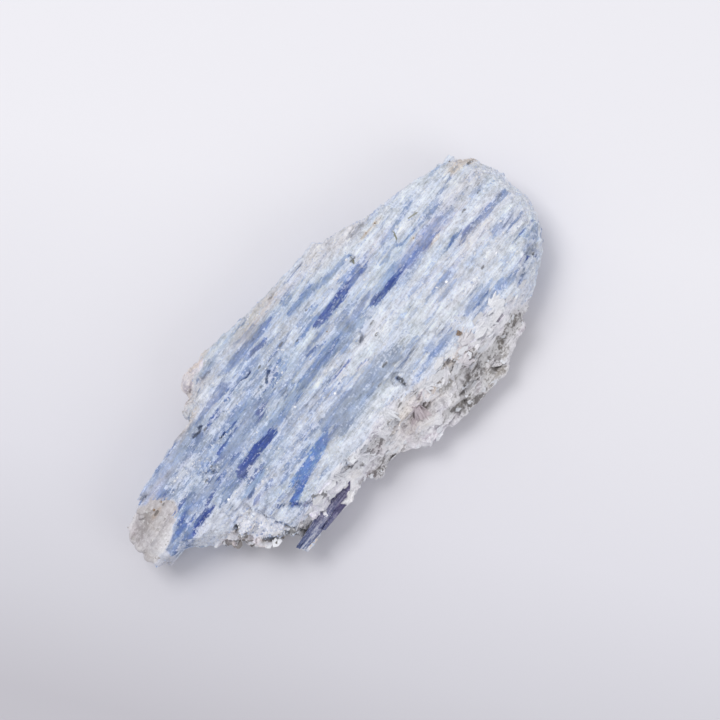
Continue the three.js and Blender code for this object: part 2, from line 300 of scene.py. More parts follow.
def quartz_share(points):
    """1 on the milky knob, up to 0.7 on its foot, and 0 elsewhere."""
    off_knob = np.sqrt((((points - knob_middle) / knob_reach) ** 2).sum(1))
    off_foot = np.sqrt((((points - foot_middle) / foot_reach) ** 2).sum(1))
    ragged = 0.16 * (cloud(points, 1.6, 42) - 0.5)
    knob = step_up(1.08 - off_knob + ragged, 0, 0.08)
    foot = 0.7 * step_up(1.08 - off_foot + 2 * ragged, 0, 0.2)
    return np.maximum(knob, foot)


def shelf_share(points):
    """1 on the granular white shelf at the narrow end, past its broken edge, and 0 elsewhere."""
    s, t, _ = points.T
    edge = np.interp(t, shelf_edge_t, shelf_edge_s)
    ragged = cloud(points, 1.4, 43) - 0.5
    return step_up(edge - s + 0.5 * ragged, 0, 0.4) * step_up(-1.8 - t + 2 * ragged, 0, 0.8)


def rock_share(points, facing_up):
    """1 on mica rock and 0 on kyanite: the near flank past a ragged line, the far corner, the
    knob, and patches of the underside."""
    s, t, z = points.T
    _, numbers, _ = cells(points, (2.6, 1.3, 1.3), 40)
    ragged = (numbers[:, 0] - 0.5) * 1.8
    line = np.interp(s, rock_s, rock_t)
    top = np.interp(s, rock_s, rock_top)
    flank = np.interp(s, flank_s, flank_t)
    near = step_up(top + ragged - z, -0.3, 0.3) * step_up(flank - t, 0, 2)
    near = np.maximum(near, step_up(line + ragged - t, -0.2, 0.3))
    near *= step_up(40 - s + 2 * ragged, 0, 3)
    corner = step_up(t + ragged - 18.4 - 0.5 * abs(s + 20), 0, 0.6) * step_up(12.2 - z + ragged, 0, 1)
    corner = np.maximum(corner, step_up(t + 0.5 * ragged - 22.6, 0, 0.6) * step_up(-13 - s, 0, 1))
    corner *= step_up(-12 - s, 0, 1)
    patchy = cloud(points, (13, 6, 6), 41) + 0.2 * ragged
    under = step_up(-facing_up, 0.2, 0.5) * step_up(patchy, 0.5, 0.56)
    rock = np.clip(near + corner + under + quartz_share(points), 0, 1)
    return rock * (1 - violet_share(points))


def violet_share(points):
    """1 where the violet crystal stands out from under the near edge, and 0 elsewhere."""
    s, t, z = points.T
    return step_up(-21 - s, 0, 2) * step_up(-14.2 - t, 0, 0.4) * step_up(9 - z, 0, 0.4)


def cleft_share(points):
    """1 in the middle of each open crack, falling to 0 beside it: e to the power of minus the square
    of the distance from its line over its half-width there. A crack widens threefold from its
    first (s, t) to its last."""
    share = np.zeros(len(points))
    points = points + 0.7 * (np.stack([cloud(points, 0.9, seed) for seed in (35, 36, 37)], 1) - 0.5)
    for s0, t0, s1, t1, half in clefts:
        way = np.array([s1 - s0, t1 - t0])
        off = points[:, :2] - [s0, t0]
        part = np.clip(off @ way / (way @ way), 0, 1)
        away = np.linalg.norm(off - part[:, None] * way, axis=1)
        share = np.maximum(share, np.exp(-(away / (half * (0.5 + part))) ** 2))
    return share


clefts = [
    (-26.6, -7.5, -24.2, -10.5, 0.24), (-24.4, -10.3, -22.4, -12.8, 0.4),
    (-30.6, -3.6, -30.2, -6.4, 0.24), (-30.2, -6.3, -29.1, -11.0, 0.24),
    (-29.1, -10.9, -27.2, -14.0, 0.3), (7.5, -10.2, 7.1, -12.9, 0.42), (43.6, -15.2, 45.0, -17.2, 0.3),
    (-9.6, 9.2, -7.2, 10.8, 0.2), (-20.2, -12.6, -19.0, -15.0, 0.3), (-12.6, -13.0, -10.8, -15.0, 0.24),
    (-13.2, 13.8, -9.6, 13.6, 0.14), (-24.8, 10.6, -22.2, 10.2, 0.14), (20.3, 10.6, 20.6, 12.2, 0.2),
    (-31.8, 9.2, -29.6, 7.2, 0.26),
]
rng = np.random.default_rng(11)
grown_count = 900
middles = solid_points[solid_faces].mean(1)
bare = 1.02 - rock_share(middles, np.zeros(len(middles)))
seat, facing, _ = scatter(solid_points, solid_faces, bare, grown_count, rng)
kept = (seat[:, 2] > 2.4) & (seat[:, 0] < 46.5)
seat, facing = seat[kept], facing[kept]
along, up = laid_along(facing, rng, 0.03)
wide = rng.uniform(0.6, 1.9, len(seat))
long = rng.uniform(3, 9, len(seat)) * wide ** 0.7
solid_tree = BVHTree.FromPolygons(solid_points.tolist(), solid_faces.tolist())
centre, long = fitted(solid_tree, seat, along, long, 0.2)
centre += facing * rng.uniform(-0.2, 0.28, (len(seat), 1))
deep = rng.uniform(0.9, 1.6, len(seat))
grown_points, grown_faces = blades(centre, along, up, long, wide, deep, rng)

# The knob's round lumps.
knob_tops = np.array([
    (-49.4, 12.4, 9.6), (-50.0, 10.4, 9.2), (-48.2, 13.9, 8.8), (-50.5, 8.2, 8.0), (-46.2, 14.3, 8.8),
    (-49.2, 13.2, 7.2), (-50.2, 6.2, 7.6), (-44.0, 13.6, 9.4),
])
lump_reach = [1.9, 1.5, 1.9]
ball = bmesh.new()
bmesh.ops.create_icosphere(ball, subdivisions=2, radius=1)
ball_points = np.array([vertex.co for vertex in ball.verts]) * lump_reach
knob_points = (knob_tops[:, None] + ball_points).reshape(-1, 3)
ball_faces = np.array([[vertex.index for vertex in face.verts] for face in ball.faces])
ball.free()
knob_faces = np.arange(len(knob_tops))[:, None, None] * len(ball_points) + ball_faces
knob_faces = knob_faces.reshape(-1, 3).tolist()
fused_points = np.concatenate([solid_points, grown_points, knob_points])
fused_faces = solid_faces.tolist()
fused_faces += [[k + len(solid_points) for k in face] for face in grown_faces]
fused_faces += [[k + len(solid_points) + len(grown_points) for k in face] for face in knob_faces]
voxel = 0.3
squeeze = np.array([0.6, 1, 1])
points, quads = skin(fused_points, fused_faces, voxel, squeeze)

# The upper face is worn, so its ledges are softened.
outward = normals(points, quads)
smooth_up = spread(outward[:, 2], quads, 6)
worn = 0.92 * step_up(spread(smooth_up, quads, 20), 0.5, 0.8)
points[:, 2] += worn * (spread(points[:, 2], quads, 70) - points[:, 2])

# The near side of the narrow end is drawn in, the solid's pit in the upper face is made shallow,
# and its violet crystal shrinks to lie inside the clear ones. Here s, t and z are the points' own
# columns, so a change to one moves the points.
pit_s, pit_t, pit_floor = -25.5, 14.4, 12.9
s, t, z = points.T
t += 2.4 * step_up(-s, 41, 46) * step_up(6 - t, 0, 4) * step_up(12.5 - z, 0, 8)
in_pit = (abs(s - pit_s) < 2.6) & (abs(t - pit_t) < 1.4) & (z > 9.5)
z[in_pit] = np.maximum(z[in_pit], pit_floor)
crystal = violet_share(points)
points += np.stack([-0.24 * (s + 21) * crystal, 0.8 * crystal, 1.2 * crystal], 1)

# Then come the faces of the blades and of the broken rock, by cells in three sizes. A cell's face
# stands out by chance and is tilted by chance, so that it catches the light as one flat face.
outward = normals(points, quads)
rock = rock_share(points, smooth_up)
quartz = quartz_share(points)
shelf = shelf_share(points) * step_up(smooth_up, 0, 0.4)
relief = np.zeros(len(points))
tone = np.zeros(len(points))
for size, height, tilt, tint, seed in (
    ((11, 2.0, 1.6), 0.24, 0.05, 0.5, 1),
    ((5, 0.95, 0.9), 0.12, 0.11, 0.7, 2),
    ((2.4, 0.5, 0.5), 0.06, 0.15, 0.5, 3),
):
    place, numbers, _ = cells(swayed(points, 0.9, 3, seed + 20), size, seed)
    away = points - place
    lean = (numbers[:, 1] - 0.5) * tilt * 2
    slope = away[:, 1] * outward[:, 2] + away[:, 2] * outward[:, 1]
    relief += height * (numbers[:, 0] - 0.5) + lean * slope
    tone += tint * (numbers[:, 2] - 0.5)
    if seed == 2:
        blade_place = place
rough = cloud(points, 0.7, 31) + 0.7 * cloud(points, 0.4, 32) - 0.85
lumps = np.zeros(len(points))
rock_tone = np.zeros(len(points))
for size, height, tilt, seed in (
    ((5.5, 2.6, 2.2), 0.62, 0.24, 11),
    ((2.6, 1.1, 1.0), 0.2, 0.16, 12),
    ((1.1, 0.5, 0.5), 0.04, 0.08, 13),
):
    place, numbers, _ = cells(swayed(points, 0.5, 2, seed + 20), size, seed)
    slope = ((numbers - 0.5) * (points - place)).sum(1)
    lumps += height * (numbers[:, 0] - 0.55) + 2 * tilt * slope
    rock_tone += (0.1 + 0.14 * size[1]) * (numbers[:, 2] - 0.5)
_, numbers, gap = cells(swayed(points, 0.8, 1.5, 34), 2.2, 14)
pebbles = 0.2 * np.minimum(gap, 0.6) + 0.18 * (numbers[:, 0] - 0.5) + 0.02 * rough
relief = (relief * (1.5 - 0.7 * worn) + 0.16 * rough) * (1 - rock)
relief += (lumps + 0.1 * rough) * (rock - quartz) + pebbles * quartz
relief += shelf * (1 - rock) * (1.7 * pebbles + 0.25 * rough - 0.7 - 0.5 * relief)
cleft_depth = 0.8
lowest, highest = -1.1, 0.8
relief -= cleft_depth * cleft_share(points) * step_up(smooth_up, 0, 0.4)
relief = np.clip(relief, lowest, highest) * step_up(points[:, 2], 0.0, 2.0) * (1 - violet_share(points))
worked = points + outward * relief[:, None]
worked[:, 2] = np.maximum(worked[:, 2], 0)
hollow = spread(relief, quads, 5) - relief
# Painted shade: the rock is darker in the hollows of its relief.
rock_tone += 2.0 * (cloud(points, (6, 3, 3), 15) - 0.5) - 0.6 * hollow

# The rock is darker low down on the flank, in patches: partly its dark crumbs, partly painted shade near the
# floor.
low = step_up(6 - points[:, 2], 0, 3) * (0.6 + 0.6 * step_up(points[:, 0], 12, 18))
rock_tone -= 1.4 * low * step_up(cloud(points, (4, 2, 2), 16), 0.3, 0.65)


# Colours, from where the photograph shows them. Each streak is a run from (s, t) to (s, t) with a
# half-width and a strength, and takes its ragged outline from the blades that it crosses.
def streaks(points, runs):
    """For each point, the shape and the strength of the streak that it lies deepest in. The shape
    is 1 within 0.8 half-widths of the run's line, and falls to 0 at 2.2 half-widths. The ends are
    drawn out to twice that."""
    s, t = points[:, 0], points[:, 1]
    shape = np.zeros(len(points))
    strength = np.zeros(len(points))
    for s0, t0, s1, t1, half, strong in runs:
        part = np.clip((s - s0) / (s1 - s0), 0, 1)
        off = (t - t0 - part * (t1 - t0)) / half
        past = np.maximum(np.maximum(s0 - s, s - s1), 0) / (2 * half)
        here = np.clip((2.2 - np.hypot(off, past)) / 1.4, 0, 1)
        deeper = here > shape
        shape[deeper] = here[deeper]
        strength[deeper] = strong
    return shape, strength


blue_runs = [
    (7, 8.6, 13.4, 8.5, 0.8, 0.92), (13.4, 8.5, 20, 8.4, 0.6, 0.74), (0, 9.7, 20, 9.6, 0.2, 0.6),
    (0.3, 6.2, 1.6, 6.0, 0.35, 0.8), (0, 7.1, 5, 7.1, 0.4, 0.6), (17, 1.9, 23.3, 1.9, 0.65, 0.9),
    (19, 3.1, 24, 3.4, 0.8, 0.5), (-4.5, 3.5, 5, 3.6, 0.85, 0.66), (5, 3.2, 10, 3.4, 1.4, 0.52),
    (11, 3.7, 16.5, 3.9, 0.5, 0.62), (6, 1.5, 10.5, 1.6, 1.0, 0.46), (-26, 2.3, -17.5, 2.5, 1.0, 1.0),
    (-32, 2.0, -28, 2.4, 0.8, 0.7), (-17, 3.1, -8, 3.3, 0.9, 0.52), (-24, -9.2, -19, -8.6, 0.5, 0.78),
    (-41.5, 2.9, -36, 2.9, 0.45, 1.05), (-48.6, 1.9, -46.5, 0.9, 0.9, 0.85),
    (-46, 3.0, -41, 3.4, 0.9, 0.7), (-45, 5.6, -42.5, 5.2, 0.5, 0.7), (-41, 6.0, -37, 7.4, 1.0, 0.66),
    (-36.5, 6.8, -32, 5.2, 0.9, 0.5), (-50, 5.2, -47, 4.6, 0.8, 0.5), (-24, 7.0, -17.5, 7.2, 1.2, 0.55),
    (-20.5, 7.4, -17.8, 7.2, 0.6, 0.72), (-19.6, 10.5, -17.3, 10.4, 0.7, 0.6),
    (-15.5, 8.4, -11, 7.2, 0.5, 0.58), (-10, 17.6, -1, 17.2, 0.8, 0.66),
    (-6, 19.2, -3.5, 18.8, 0.6, 0.52), (-5, 15.3, -3.6, 15.2, 0.6, 0.8), (-23, 15.8, -15, 15.9, 0.6, 0.6),
    (-29.5, 13.9, -27, 13.8, 0.7, 0.6), (5, 14.6, 12, 13.8, 0.6, 0.62), (26.5, 2.1, 33, 2.2, 0.9, 0.6),
    (33, 2.6, 40, 1.9, 0.65, 0.5), (28, 5.3, 34, 5.0, 0.25, 0.62), (34, 4.7, 40, 4.4, 0.25, 0.55),
    (31, 0.9, 36, 0.9, 0.2, 0.62), (31.5, 8.7, 36, 9.2, 0.4, 0.56), (43, 5.9, 46, 6.6, 0.5, 0.62),
    (40, -4.2, 43, -4.3, 0.7, 0.62), (37.3, -3.8, 39.6, -4.1, 0.6, 0.75),
    (44.5, -4.3, 49, -4.5, 0.6, 0.6), (35, -2.4, 36.5, -2.4, 0.45, 0.66), (41, -8.4, 46, -8.6, 0.6, 0.42),
    (43, -10, 49.5, -10, 0.3, 0.55), (42, -12.3, 48, -12.2, 0.22, 0.7), (45, -14, 49, -13.6, 0.9, 0.54),
    (42.4, -15.6, 44, -17, 0.5, 1.0), (37, -17, 39, -16.6, 0.8, 0.55), (27, -13.6, 31, -13.6, 0.9, 0.46),
    (27.5, -14.4, 31, -14.4, 0.18, 0.78), (26, -15.7, 33, -15.5, 0.7, 0.48),
    (16, -13.6, 20.5, -13.6, 0.7, 0.56), (9, -13.6, 14, -13.8, 0.6, 0.46), (22, -6, 30, -5.8, 0.35, 0.42),
    (24, -8, 28, -8, 0.6, 0.42), (10, -9, 16, -9, 0.35, 0.46), (-9, -4.8, -2, -4.8, 0.8, 0.5),
    (-3, -7, 8, -6.8, 2.0, 0.42), (0, -1.1, 4, -1.1, 0.2, 0.7), (3.5, -3.6, 6.5, -4.0, 0.22, 0.6),
    (-29, -1.2, -24, -1.3, 0.5, 0.46), (-29, -3.2, -27.6, -3.3, 0.35, 0.6),
    (-28, -11.9, -22.5, -11.6, 0.5, 0.6), (-26.5, -7.6, -22.5, -12.6, 0.3, 0.8),
    (-40, 15, -27, 15.4, 1.5, 0.42), (-16, 20.8, -13, 20.8, 0.7, 0.44), (24, 5.8, 28, 6.0, 0.4, 0.48),
    (-15.6, 9.3, -10.8, 9.8, 1.1, 0.52), (-45, 13.4, -38, 14.6, 1.0, 0.56),
    (16, -11.8, 17.2, -11.8, 0.4, 0.5), (-20, -7.8, -11.5, -7.0, 1.0, 0.76),
    (-14, 14.4, -8, 14.2, 0.5, 0.6), (-34, 14.2, -30, 14.6, 0.5, 0.5), (14, 12.8, 19, 12.6, 0.5, 0.56),
    (26, 8.6, 29, 8.6, 0.4, 0.44), (44, 10, 47, 9.6, 0.4, 0.44), (-10, 5.8, -3, 6.0, 0.35, 0.46),
]
clear_runs = [
    (-20, -7.8, -11.5, -7.0, 1.1, 1), (-24, -9.2, -19, -8.6, 0.6, 0.8), (-29, -1.4, -22, -1.8, 1.4, 0.4),
]
violet_runs = [
    (-41.5, 2.9, -36, 2.9, 0.6, 0.6), (13.4, 8.5, 20, 8.4, 0.8, 0.6), (0, 6.2, 5, 6.2, 1.4, 0.5),
    (26.5, 2.1, 33, 2.2, 1.1, 0.7), (33, 2.6, 40, 1.9, 1.1, 0.8), (31, 0.9, 36, 0.9, 0.3, 1.0),
    (40, -4.2, 43, -4.3, 0.9, 0.7), (37.5, -3.8, 39.5, -4.2, 0.8, 1.0), (0, -1.1, 4, -1.1, 0.3, 0.8),
    (3.5, -3.6, 6.5, -4.0, 0.3, 0.8), (-29, -3.2, -27.6, -3.3, 0.4, 0.8),
    (-23, 15.8, -15, 15.9, 0.8, 0.5), (-40, 15, -27, 15.4, 2.0, 0.4), (12, 4, 17, 4, 0.7, 0.5),
    (20, 9.3, 30, 9.3, 0.5, 0.5), (-19, -16, -15.5, -17.5, 1.4, 1.0), (-31, -16.5, -18, -17, 2.2, 0.9),
]
grey_runs = [
    (-9, -4.8, -2, -4.8, 1.0, 0.6), (-7, -7.4, 9, -6.8, 1.9, 0.85), (-40, 11.6, -28, 12.8, 2.4, 0.4),
    (-30.5, 7, -26, 7.2, 1.2, 0.5), (-10, 7.4, -6, 7, 1.0, 0.4), (0, -4.6, 14, -4.8, 1.2, 0.3),
    (37, -17, 39, -16.6, 1.0, 0.6), (-40, 15, -27, 15.4, 2.2, 0.45), (-32, 8.8, -28, 7.2, 1.2, 0.6),
    (-17, 11.6, -5, 11.5, 0.3, 0.9), (-15.6, 9.3, -10.8, 9.8, 1.2, 0.5), (-13, 10.2, -8, 9.6, 1.0, 0.5),
    (-36.5, 6.8, -32, 5.2, 1.0, 0.45), (-5, 15.3, -3.6, 15.2, 0.7, 0.6), (-1, 12.8, 4, 13, 1.6, 0.4),
    (43, 1.5, 50, 0.6, 1.2, 0.5), (20, 5.6, 24, 5.4, 0.5, 0.5), (-51.5, 4.2, -47, 5.4, 1.8, 0.7),
    (37.5, -3.8, 39.5, -4.2, 0.9, 0.9), (22, -6, 30, -5.8, 0.7, 0.3), (9.5, 0.6, 14, 0.2, 0.8, 0.45),
    (5, -11.6, 7, -12, 1.0, 0.6), (33.3, 7.3, 35.6, 6.8, 0.35, 1.0),
]
white_runs = [
    (-35.4, 12, -32, 12.2, 0.8, 0.8), (-37, 9.4, -34, 9.8, 0.7, 0.4), (-43, 1.0, -36, 1.0, 1.0, 0.95),
    (-38, -0.6, -32, -1.6, 1.0, 0.8), (-33, 0.9, -28.5, 0.4, 0.35, 1.0),
    (-28.5, -2.2, -24, -2.4, 0.25, 1.0), (-26, 0.9, -23, 1.1, 0.4, 0.7), (-27, -13, -15, -12.8, 1.2, 0.8),
    (-24, 17.7, -20, 17.9, 0.8, 0.9), (9, 0.7, 16, 0.9, 0.7, 0.6), (10.5, -1.4, 13.4, -1.6, 1.2, 0.9),
    (17, 17.4, 24, 16, 1.7, 0.8), (42, 3.3, 48, 3.2, 1.3, 0.75), (31.5, 6.9, 33.6, 6.5, 0.6, 0.9),
    (37, -5.7, 41, -5.7, 0.6, 0.7), (-12, 9.8, -9, 9.6, 0.6, 0.8), (-22, -3.4, -12, -3.2, 1.0, 0.3),
    (9, -6.2, 15, -6.4, 1.1, 0.5), (14.5, 11.6, 17, 11.5, 0.35, 1.0), (24, 11.4, 40, 10.6, 1.6, 0.5),
    (33, 0.4, 34.8, 0.5, 0.3, 1.0), (13, -15.2, 30, -16.2, 0.9, 0.6), (-16, -3.2, -8, -3.4, 0.7, 0.5),
    (-22, 12.8, -15, 13.2, 1.2, 0.4), (20, -0.8, 33, -1.6, 1.0, 0.3), (-2, 22.4, 12, 20.2, 0.8, 0.5),
    (-12, -12.2, 0, -11, 1.3, 0.6), (0, -11.4, 5, -11.8, 0.8, 0.6), (6, -14.4, 16, -14.8, 0.8, 0.5),
    (39, 8, 47, 7, 1.2, 0.5), (39, -1.6, 48, -2.4, 1.0, 0.45), (41, -5.4, 43, -6.4, 1.0, 0.4),
    (-48, 3.4, -45, 2.4, 0.3, 0.9), (-45.4, 3.6, -43, 4.6, 0.3, 0.8),
]
tan_runs = [
    (48.5, 6.9, 51.4, 6.2, 1.0, 1.0), (47.6, 8.1, 48.3, 8.1, 0.4, 0.7), (26, 12.5, 26.5, 12.4, 0.35, 1.0),
    (28.4, 12.2, 29.2, 12.2, 0.35, 0.9), (30.8, 4.1, 31.2, 4.1, 0.28, 1.0),
    (-4, 19.9, 3.4, 20.4, 1.3, 0.7), (-15.4, 24.6, -12.5, 24.6, 0.7, 0.8),
    (10, -17.4, 11.2, -17.4, 0.35, 0.8), (17, 17.4, 24, 16, 1.7, 0.35),
    (2.4, -17.2, 6.0, -17.2, 1.5, 0.3), (16, -16.4, 19, -17.6, 0.8, 0.4),
    (-27, 17.4, -24, 18.2, 0.8, 0.8), (-23, 21, -17, 22.6, 2.2, 0.3), (42, 3.3, 48, 3.2, 1.5, 0.2),
    (37, -5.7, 41, -5.7, 0.7, 0.25), (39, -16.4, 34, -14.4, 0.6, 0.2),
    (-43.4, 11.5, -42.8, 11.4, 0.26, 0.8), (32.2, 0.5, 33, 0.5, 0.3, 0.8),
    (-28, -16.6, -27.4, -17, 0.3, 1.0),
]
dark_spots = [
    (-7.8, 12.6, 0.28), (-5.5, 11.8, 0.28), (-1.7, 12.0, 0.38), (-9.3, 7.3, 0.25), (-31.8, 7.2, 0.32),
    (-29, 8, 0.28), (-24, 13.7, 0.35), (20.4, 11.2, 0.45), (6.9, 12.3, 0.25), (1, 9.8, 0.22),
    (7.8, -7.2, 0.38), (4.2, -8.8, 0.32), (3.4, -14.3, 0.35), (34.6, -10.6, 0.3), (50.2, 5.4, 0.45),
    (-43.2, 11.5, 0.4), (-41, 11.4, 0.25), (47.3, 0.7, 0.25), (46.2, -0.4, 0.3), (41.4, -0.5, 0.35),
    (11.5, -2.2, 0.35), (1.2, -8.4, 0.3), (7.4, -10.3, 0.22), (7.5, -10.8, 0.26), (7.4, -11.3, 0.28),
    (7.35, -11.8, 0.28), (7.3, -12.3, 0.25), (7.2, -12.8, 0.22), (43.2, -15.8, 0.3), (43.8, -16.6, 0.3),
    (-10.6, 9.9, 0.3), (12.8, 0.1, 0.3),
]
# Dark lines along the cracks at the white shelf's broken edge and under it: painted shadow.
crack_shadow_runs = [
    (-30.6, -3.8, -30.3, -6.3, 0.16, 1.0), (-30.2, -6.3, -29.2, -10.8, 0.16, 1.0),
    (-29, -11, -27.4, -13.8, 0.2, 1.0), (-29.4, -13.5, -27.2, -14.3, 0.35, 1.0),
    (-38.4, -3.9, -36.9, -4.9, 0.4, 1.0),
]
dark_runs = [
    (s - 0.3 * radius, t, s + 0.3 * radius, t, 0.7 * radius, 1.0) for s, t, radius in dark_spots
] + crack_shadow_runs
# Painted shadow in the gaps between the blue face and the rock, placed where the line of sight meets them.
shaded_cavity_runs = [
    (-20.8, -12.4, -19.6, -13.6, 0.4, 1.0), (-19.8, -13.6, -19.0, -15.0, 0.3, 1.0),
    (-31.6, -11.8, -29.6, -13.4, 0.3, 1.0), (-29.4, -13.4, -27.8, -14.4, 0.3, 1.0),
]
broad_runs = [
    (-38, 10, -8, 10, 5, 0.25), (-15, 9.4, -10, 9.6, 1.6, 0.4), (6, 6.8, 14, 6.6, 0.9, 0.2),
    (-30, 7, -26, 7, 1, -0.15), (-46, 3.5, -20, 4, 2.6, 0.2), (-8, 14, 14, 10, 5, 0.05),
    (-8, 3.6, 14, 3.6, 2, 0.06), (-30, -3.5, -8, -3.0, 3, 0.1), (-3, 1, 3, 1, 1, -0.1),
    (-28, -1.6, -4, 0.6, 1.8, 0.24), (21, 5, 28, 5.4, 2.2, -0.06), (-28, -9, -12, -8.4, 2.4, 0.03),
    (9, -6, 34, -8, 4.5, -0.28), (36, -9, 50, -8, 5, -0.18), (-10, 6.4, -5, 6.4, 1, -0.15),
    (9, 7, 16, 7, 0.8, 0.12), (34, -1.8, 39, -1.8, 1, -0.14), (32, 3.6, 39, 3.8, 1, -0.1),
    (-18, 0.6, -14, 0.8, 1, -0.12), (-51, 4, -47, 5, 2, 0.25), (24, 2.4, 30, 3, 2, 0.06),
    (-5, -7, 7, -7, 1.8, 0.12), (24, 12, 40, 9, 3, -0.14), (8, -1, 18, -0.6, 1.8, -0.12),
    (-40, 15, -10, 16.5, 2.6, 0.1), (42, 3, 49, 3, 2.4, -0.1), (42, -13, 50, -6, 3.5, -0.2),
]


# Places in the near flank are given as the photograph shows them: where the line of sight meets a
# level this many millimetres above the floor.
seen_height = 15


def colour_fields(points, own_place, upward):
    """The numbers that the stone's material mixes its colours by, one of each for every point: the
    streaks, on the faces that look up, and soft clouds of frost, violet and grey everywhere. A
    point takes its streaks from partly its own place and partly its blade's."""
    s, t, _ = points.T
    ragged = points * 0.6 + own_place * 0.4
    ragged[:, 0] += 1.4 * (cloud(points, (4, 0.9, 0.9), 51) - 0.5)
    facing_up = step_up(upward, 0.1, 0.45)
    edge, blue = streaks(ragged, blue_runs)
    clear, violet, grey, white, tan = (
        np.prod(streaks(ragged, runs), 0)
        for runs in (clear_runs, violet_runs, grey_runs, white_runs, tan_runs)
    )
    seen = points - (seen_height - points[:, 2:]) * [0, math.tan(camera_tip), 0]
    seen = seen + 0.7 * (cloud(points, (0.9, 0.6, 0.6), 59)[:, None] - 0.5)
    cavity_shade = streaks(seen, shaded_cavity_runs)[0]
    dark_specks_and_shade = streaks(points, dark_runs)[0]
    sea = 0.5 * cloud(points, (22, 7, 7), 54) + 0.6 * cloud(points, (6, 2, 2), 53) - 0.55
    broad = 0.3 * sea + np.prod(streaks(points, broad_runs), 0) * facing_up
    far_marks = np.clip((cloud(points, (16, 2.4, 2.4), 60) - 0.6) / 0.12, 0, 1) * (1 - facing_up)
    shelf = shelf_share(points) * step_up(upward, 0, 0.4)
    past_rock = t - np.interp(s, rock_s, rock_t)
    patchy = step_up(cloud(points, (2.6, 1.1, 1.1), 57), 0.25, 0.75)
    crushed = 0.75 * step_up(3.6 - past_rock, 0, 3) * patchy * step_up(s, -30, -26)
    rim = step_up(0.93 - upward, 0, 0.25) * step_up(upward, -0.3, 0.2) * (0.3 + 0.7 * patchy)
    ends = step_up(s, 24, 36) + step_up(-s, 46, 48)
    crushed = np.maximum(crushed, (0.3 + 0.6 * ends) * rim)
    # Painted shade under the overhanging broken edge at the narrow end: it darkens and browns the flank
    # there.
    overhang_shade = step_up(-30.5 - s, 0, 1) * step_up(-t, 0, 2) * (1 - facing_up)
    corner = step_up(t, 18, 20) * step_up(-14 - s, 0, 3)
    violet_cloud = 0.9 * (cloud(points, (10, 1.6, 1.6), 55) - 0.7)
    grey_cloud = 1.2 * (cloud(points, (7, 1.4, 1.4), 56) - 0.72)
    # Painted shade along the open cracks, on top of the shade their grooves cast.
    crack_shade = 0.75 * cleft_share(points)
    return {
        "edge": np.maximum(edge * facing_up, far_marks),
        "blue": np.where(edge * facing_up > far_marks, blue, 0.66),
        "broad": broad,
        "clear": clear * facing_up,
        "violet": np.clip(violet + violet_cloud, 0, 1),
        "grey": np.clip(grey * facing_up + grey_cloud, 0, 1),
        "near_rock": step_up(past_rock, -4, 0.5),
        "white": np.maximum.reduce([white * facing_up, 0.9 * shelf, crushed]),
        # Tan is the rock's stains and the far corner's colour, plus the overhang's painted shade.
        "tan": np.maximum.reduce([tan * facing_up, 0.45 * corner, 0.6 * overhang_shade]),
        "dark_specks_and_shade": np.maximum.reduce([dark_specks_and_shade * facing_up, crack_shade * facing_up, 0.85 * overhang_shade, cavity_shade]),
    }


def paint(piece, **fields):
    """Stores each field of numbers, one for each point, as an attribute that materials can read."""
    for name, values in fields.items():
        attribute = piece.data.attributes.new(name, "FLOAT", "POINT")
        attribute.data.foreach_set("value", np.asarray(values, np.float32))


# Dark marks on the rock, placed as seen: dark crumbs and brown marks of the rock itself, and painted shade
# under the broken edge at s -33 to -27 and in the slit at s -20.
rock_darks_and_shade = [
    (3.2, -18.0, 5.8, -20.4, 0.9, 0.3), (6.0, -17.0, 6.2, -17.0, 0.3, 0.9),
    (6.1, -17.8, 6.3, -17.8, 0.3, 0.9), (6.2, -18.6, 6.4, -18.6, 0.3, 0.9),
    (6.3, -19.4, 6.5, -19.4, 0.3, 0.9), (6.2, -20.2, 6.4, -20.2, 0.3, 0.8),
    (15.4, -18.0, 19.4, -19.4, 0.6, 0.7), (20, -22.0, 24, -22.8, 0.6, 1.0),
    (26.5, -22.4, 30.5, -22.8, 0.5, 1.0), (15.5, -23.2, 18, -23.6, 0.5, 0.8),
    (8, -23.4, 11.5, -24.2, 0.6, 0.9), (-31.2, -12.2, -27.6, -14.8, 0.8, 1.2),
    (-33.4, -9.8, -32.4, -11.4, 0.5, 1.2), (-20.4, -13.0, -18.8, -16.6, 0.3, 0.8),
    (-12.4, -14.0, -10.8, -16.2, 0.3, 0.6),
]
as_seen = swayed(points, 0.9, (1.6, 0.9, 0.9), 58)
as_seen[:, 1] -= (seen_height - as_seen[:, 2]) * math.tan(camera_tip)
shape, strength = streaks(as_seen, rock_darks_and_shade)
rock_tone -= 1.4 * shape * strength
stone = mesh_object("kyanite_stone", worked, quads.tolist())
paint(stone, **colour_fields(points, blade_place, smooth_up))
rocky = np.maximum(rock, 0.85 * shelf)
paint(stone, tone=tone, rock=rocky, quartz=quartz, rock_tone=rock_tone, hollow=hollow)


def add(tree, kind, settings=None, **inputs):
    """A node with its settings and the values or links of its inputs. An underscore in an input's
    name stands for a space, and i0, i1 ... name an input by its number."""
    made = tree.nodes.new("ShaderNode" + kind)
    for name, value in (settings or {}).items():
        setattr(made, name, value)
    for name, value in inputs.items():
        numbered = name[0] == "i" and name[1:].isdigit()
        socket = made.inputs[int(name[1:])] if numbered else made.inputs[name.replace("_", " ")]
        if isinstance(value, bpy.types.NodeSocket):
            tree.links.new(value, socket)
        else:
            socket.default_value = value
    return made


def read(tree, name):
    """What paint has stored under a name."""
    return add(tree, "Attribute", {"attribute_name": name}).outputs["Fac"]


def object_place(tree):
    """The place in the piece's own frame, in metres."""
    return add(tree, "TexCoord").outputs["Object"]


def calc(tree, operation, a, b):
    """One sum of two numbers."""
    return add(tree, "Math", {"operation": operation}, i0=a, i1=b).outputs[0]


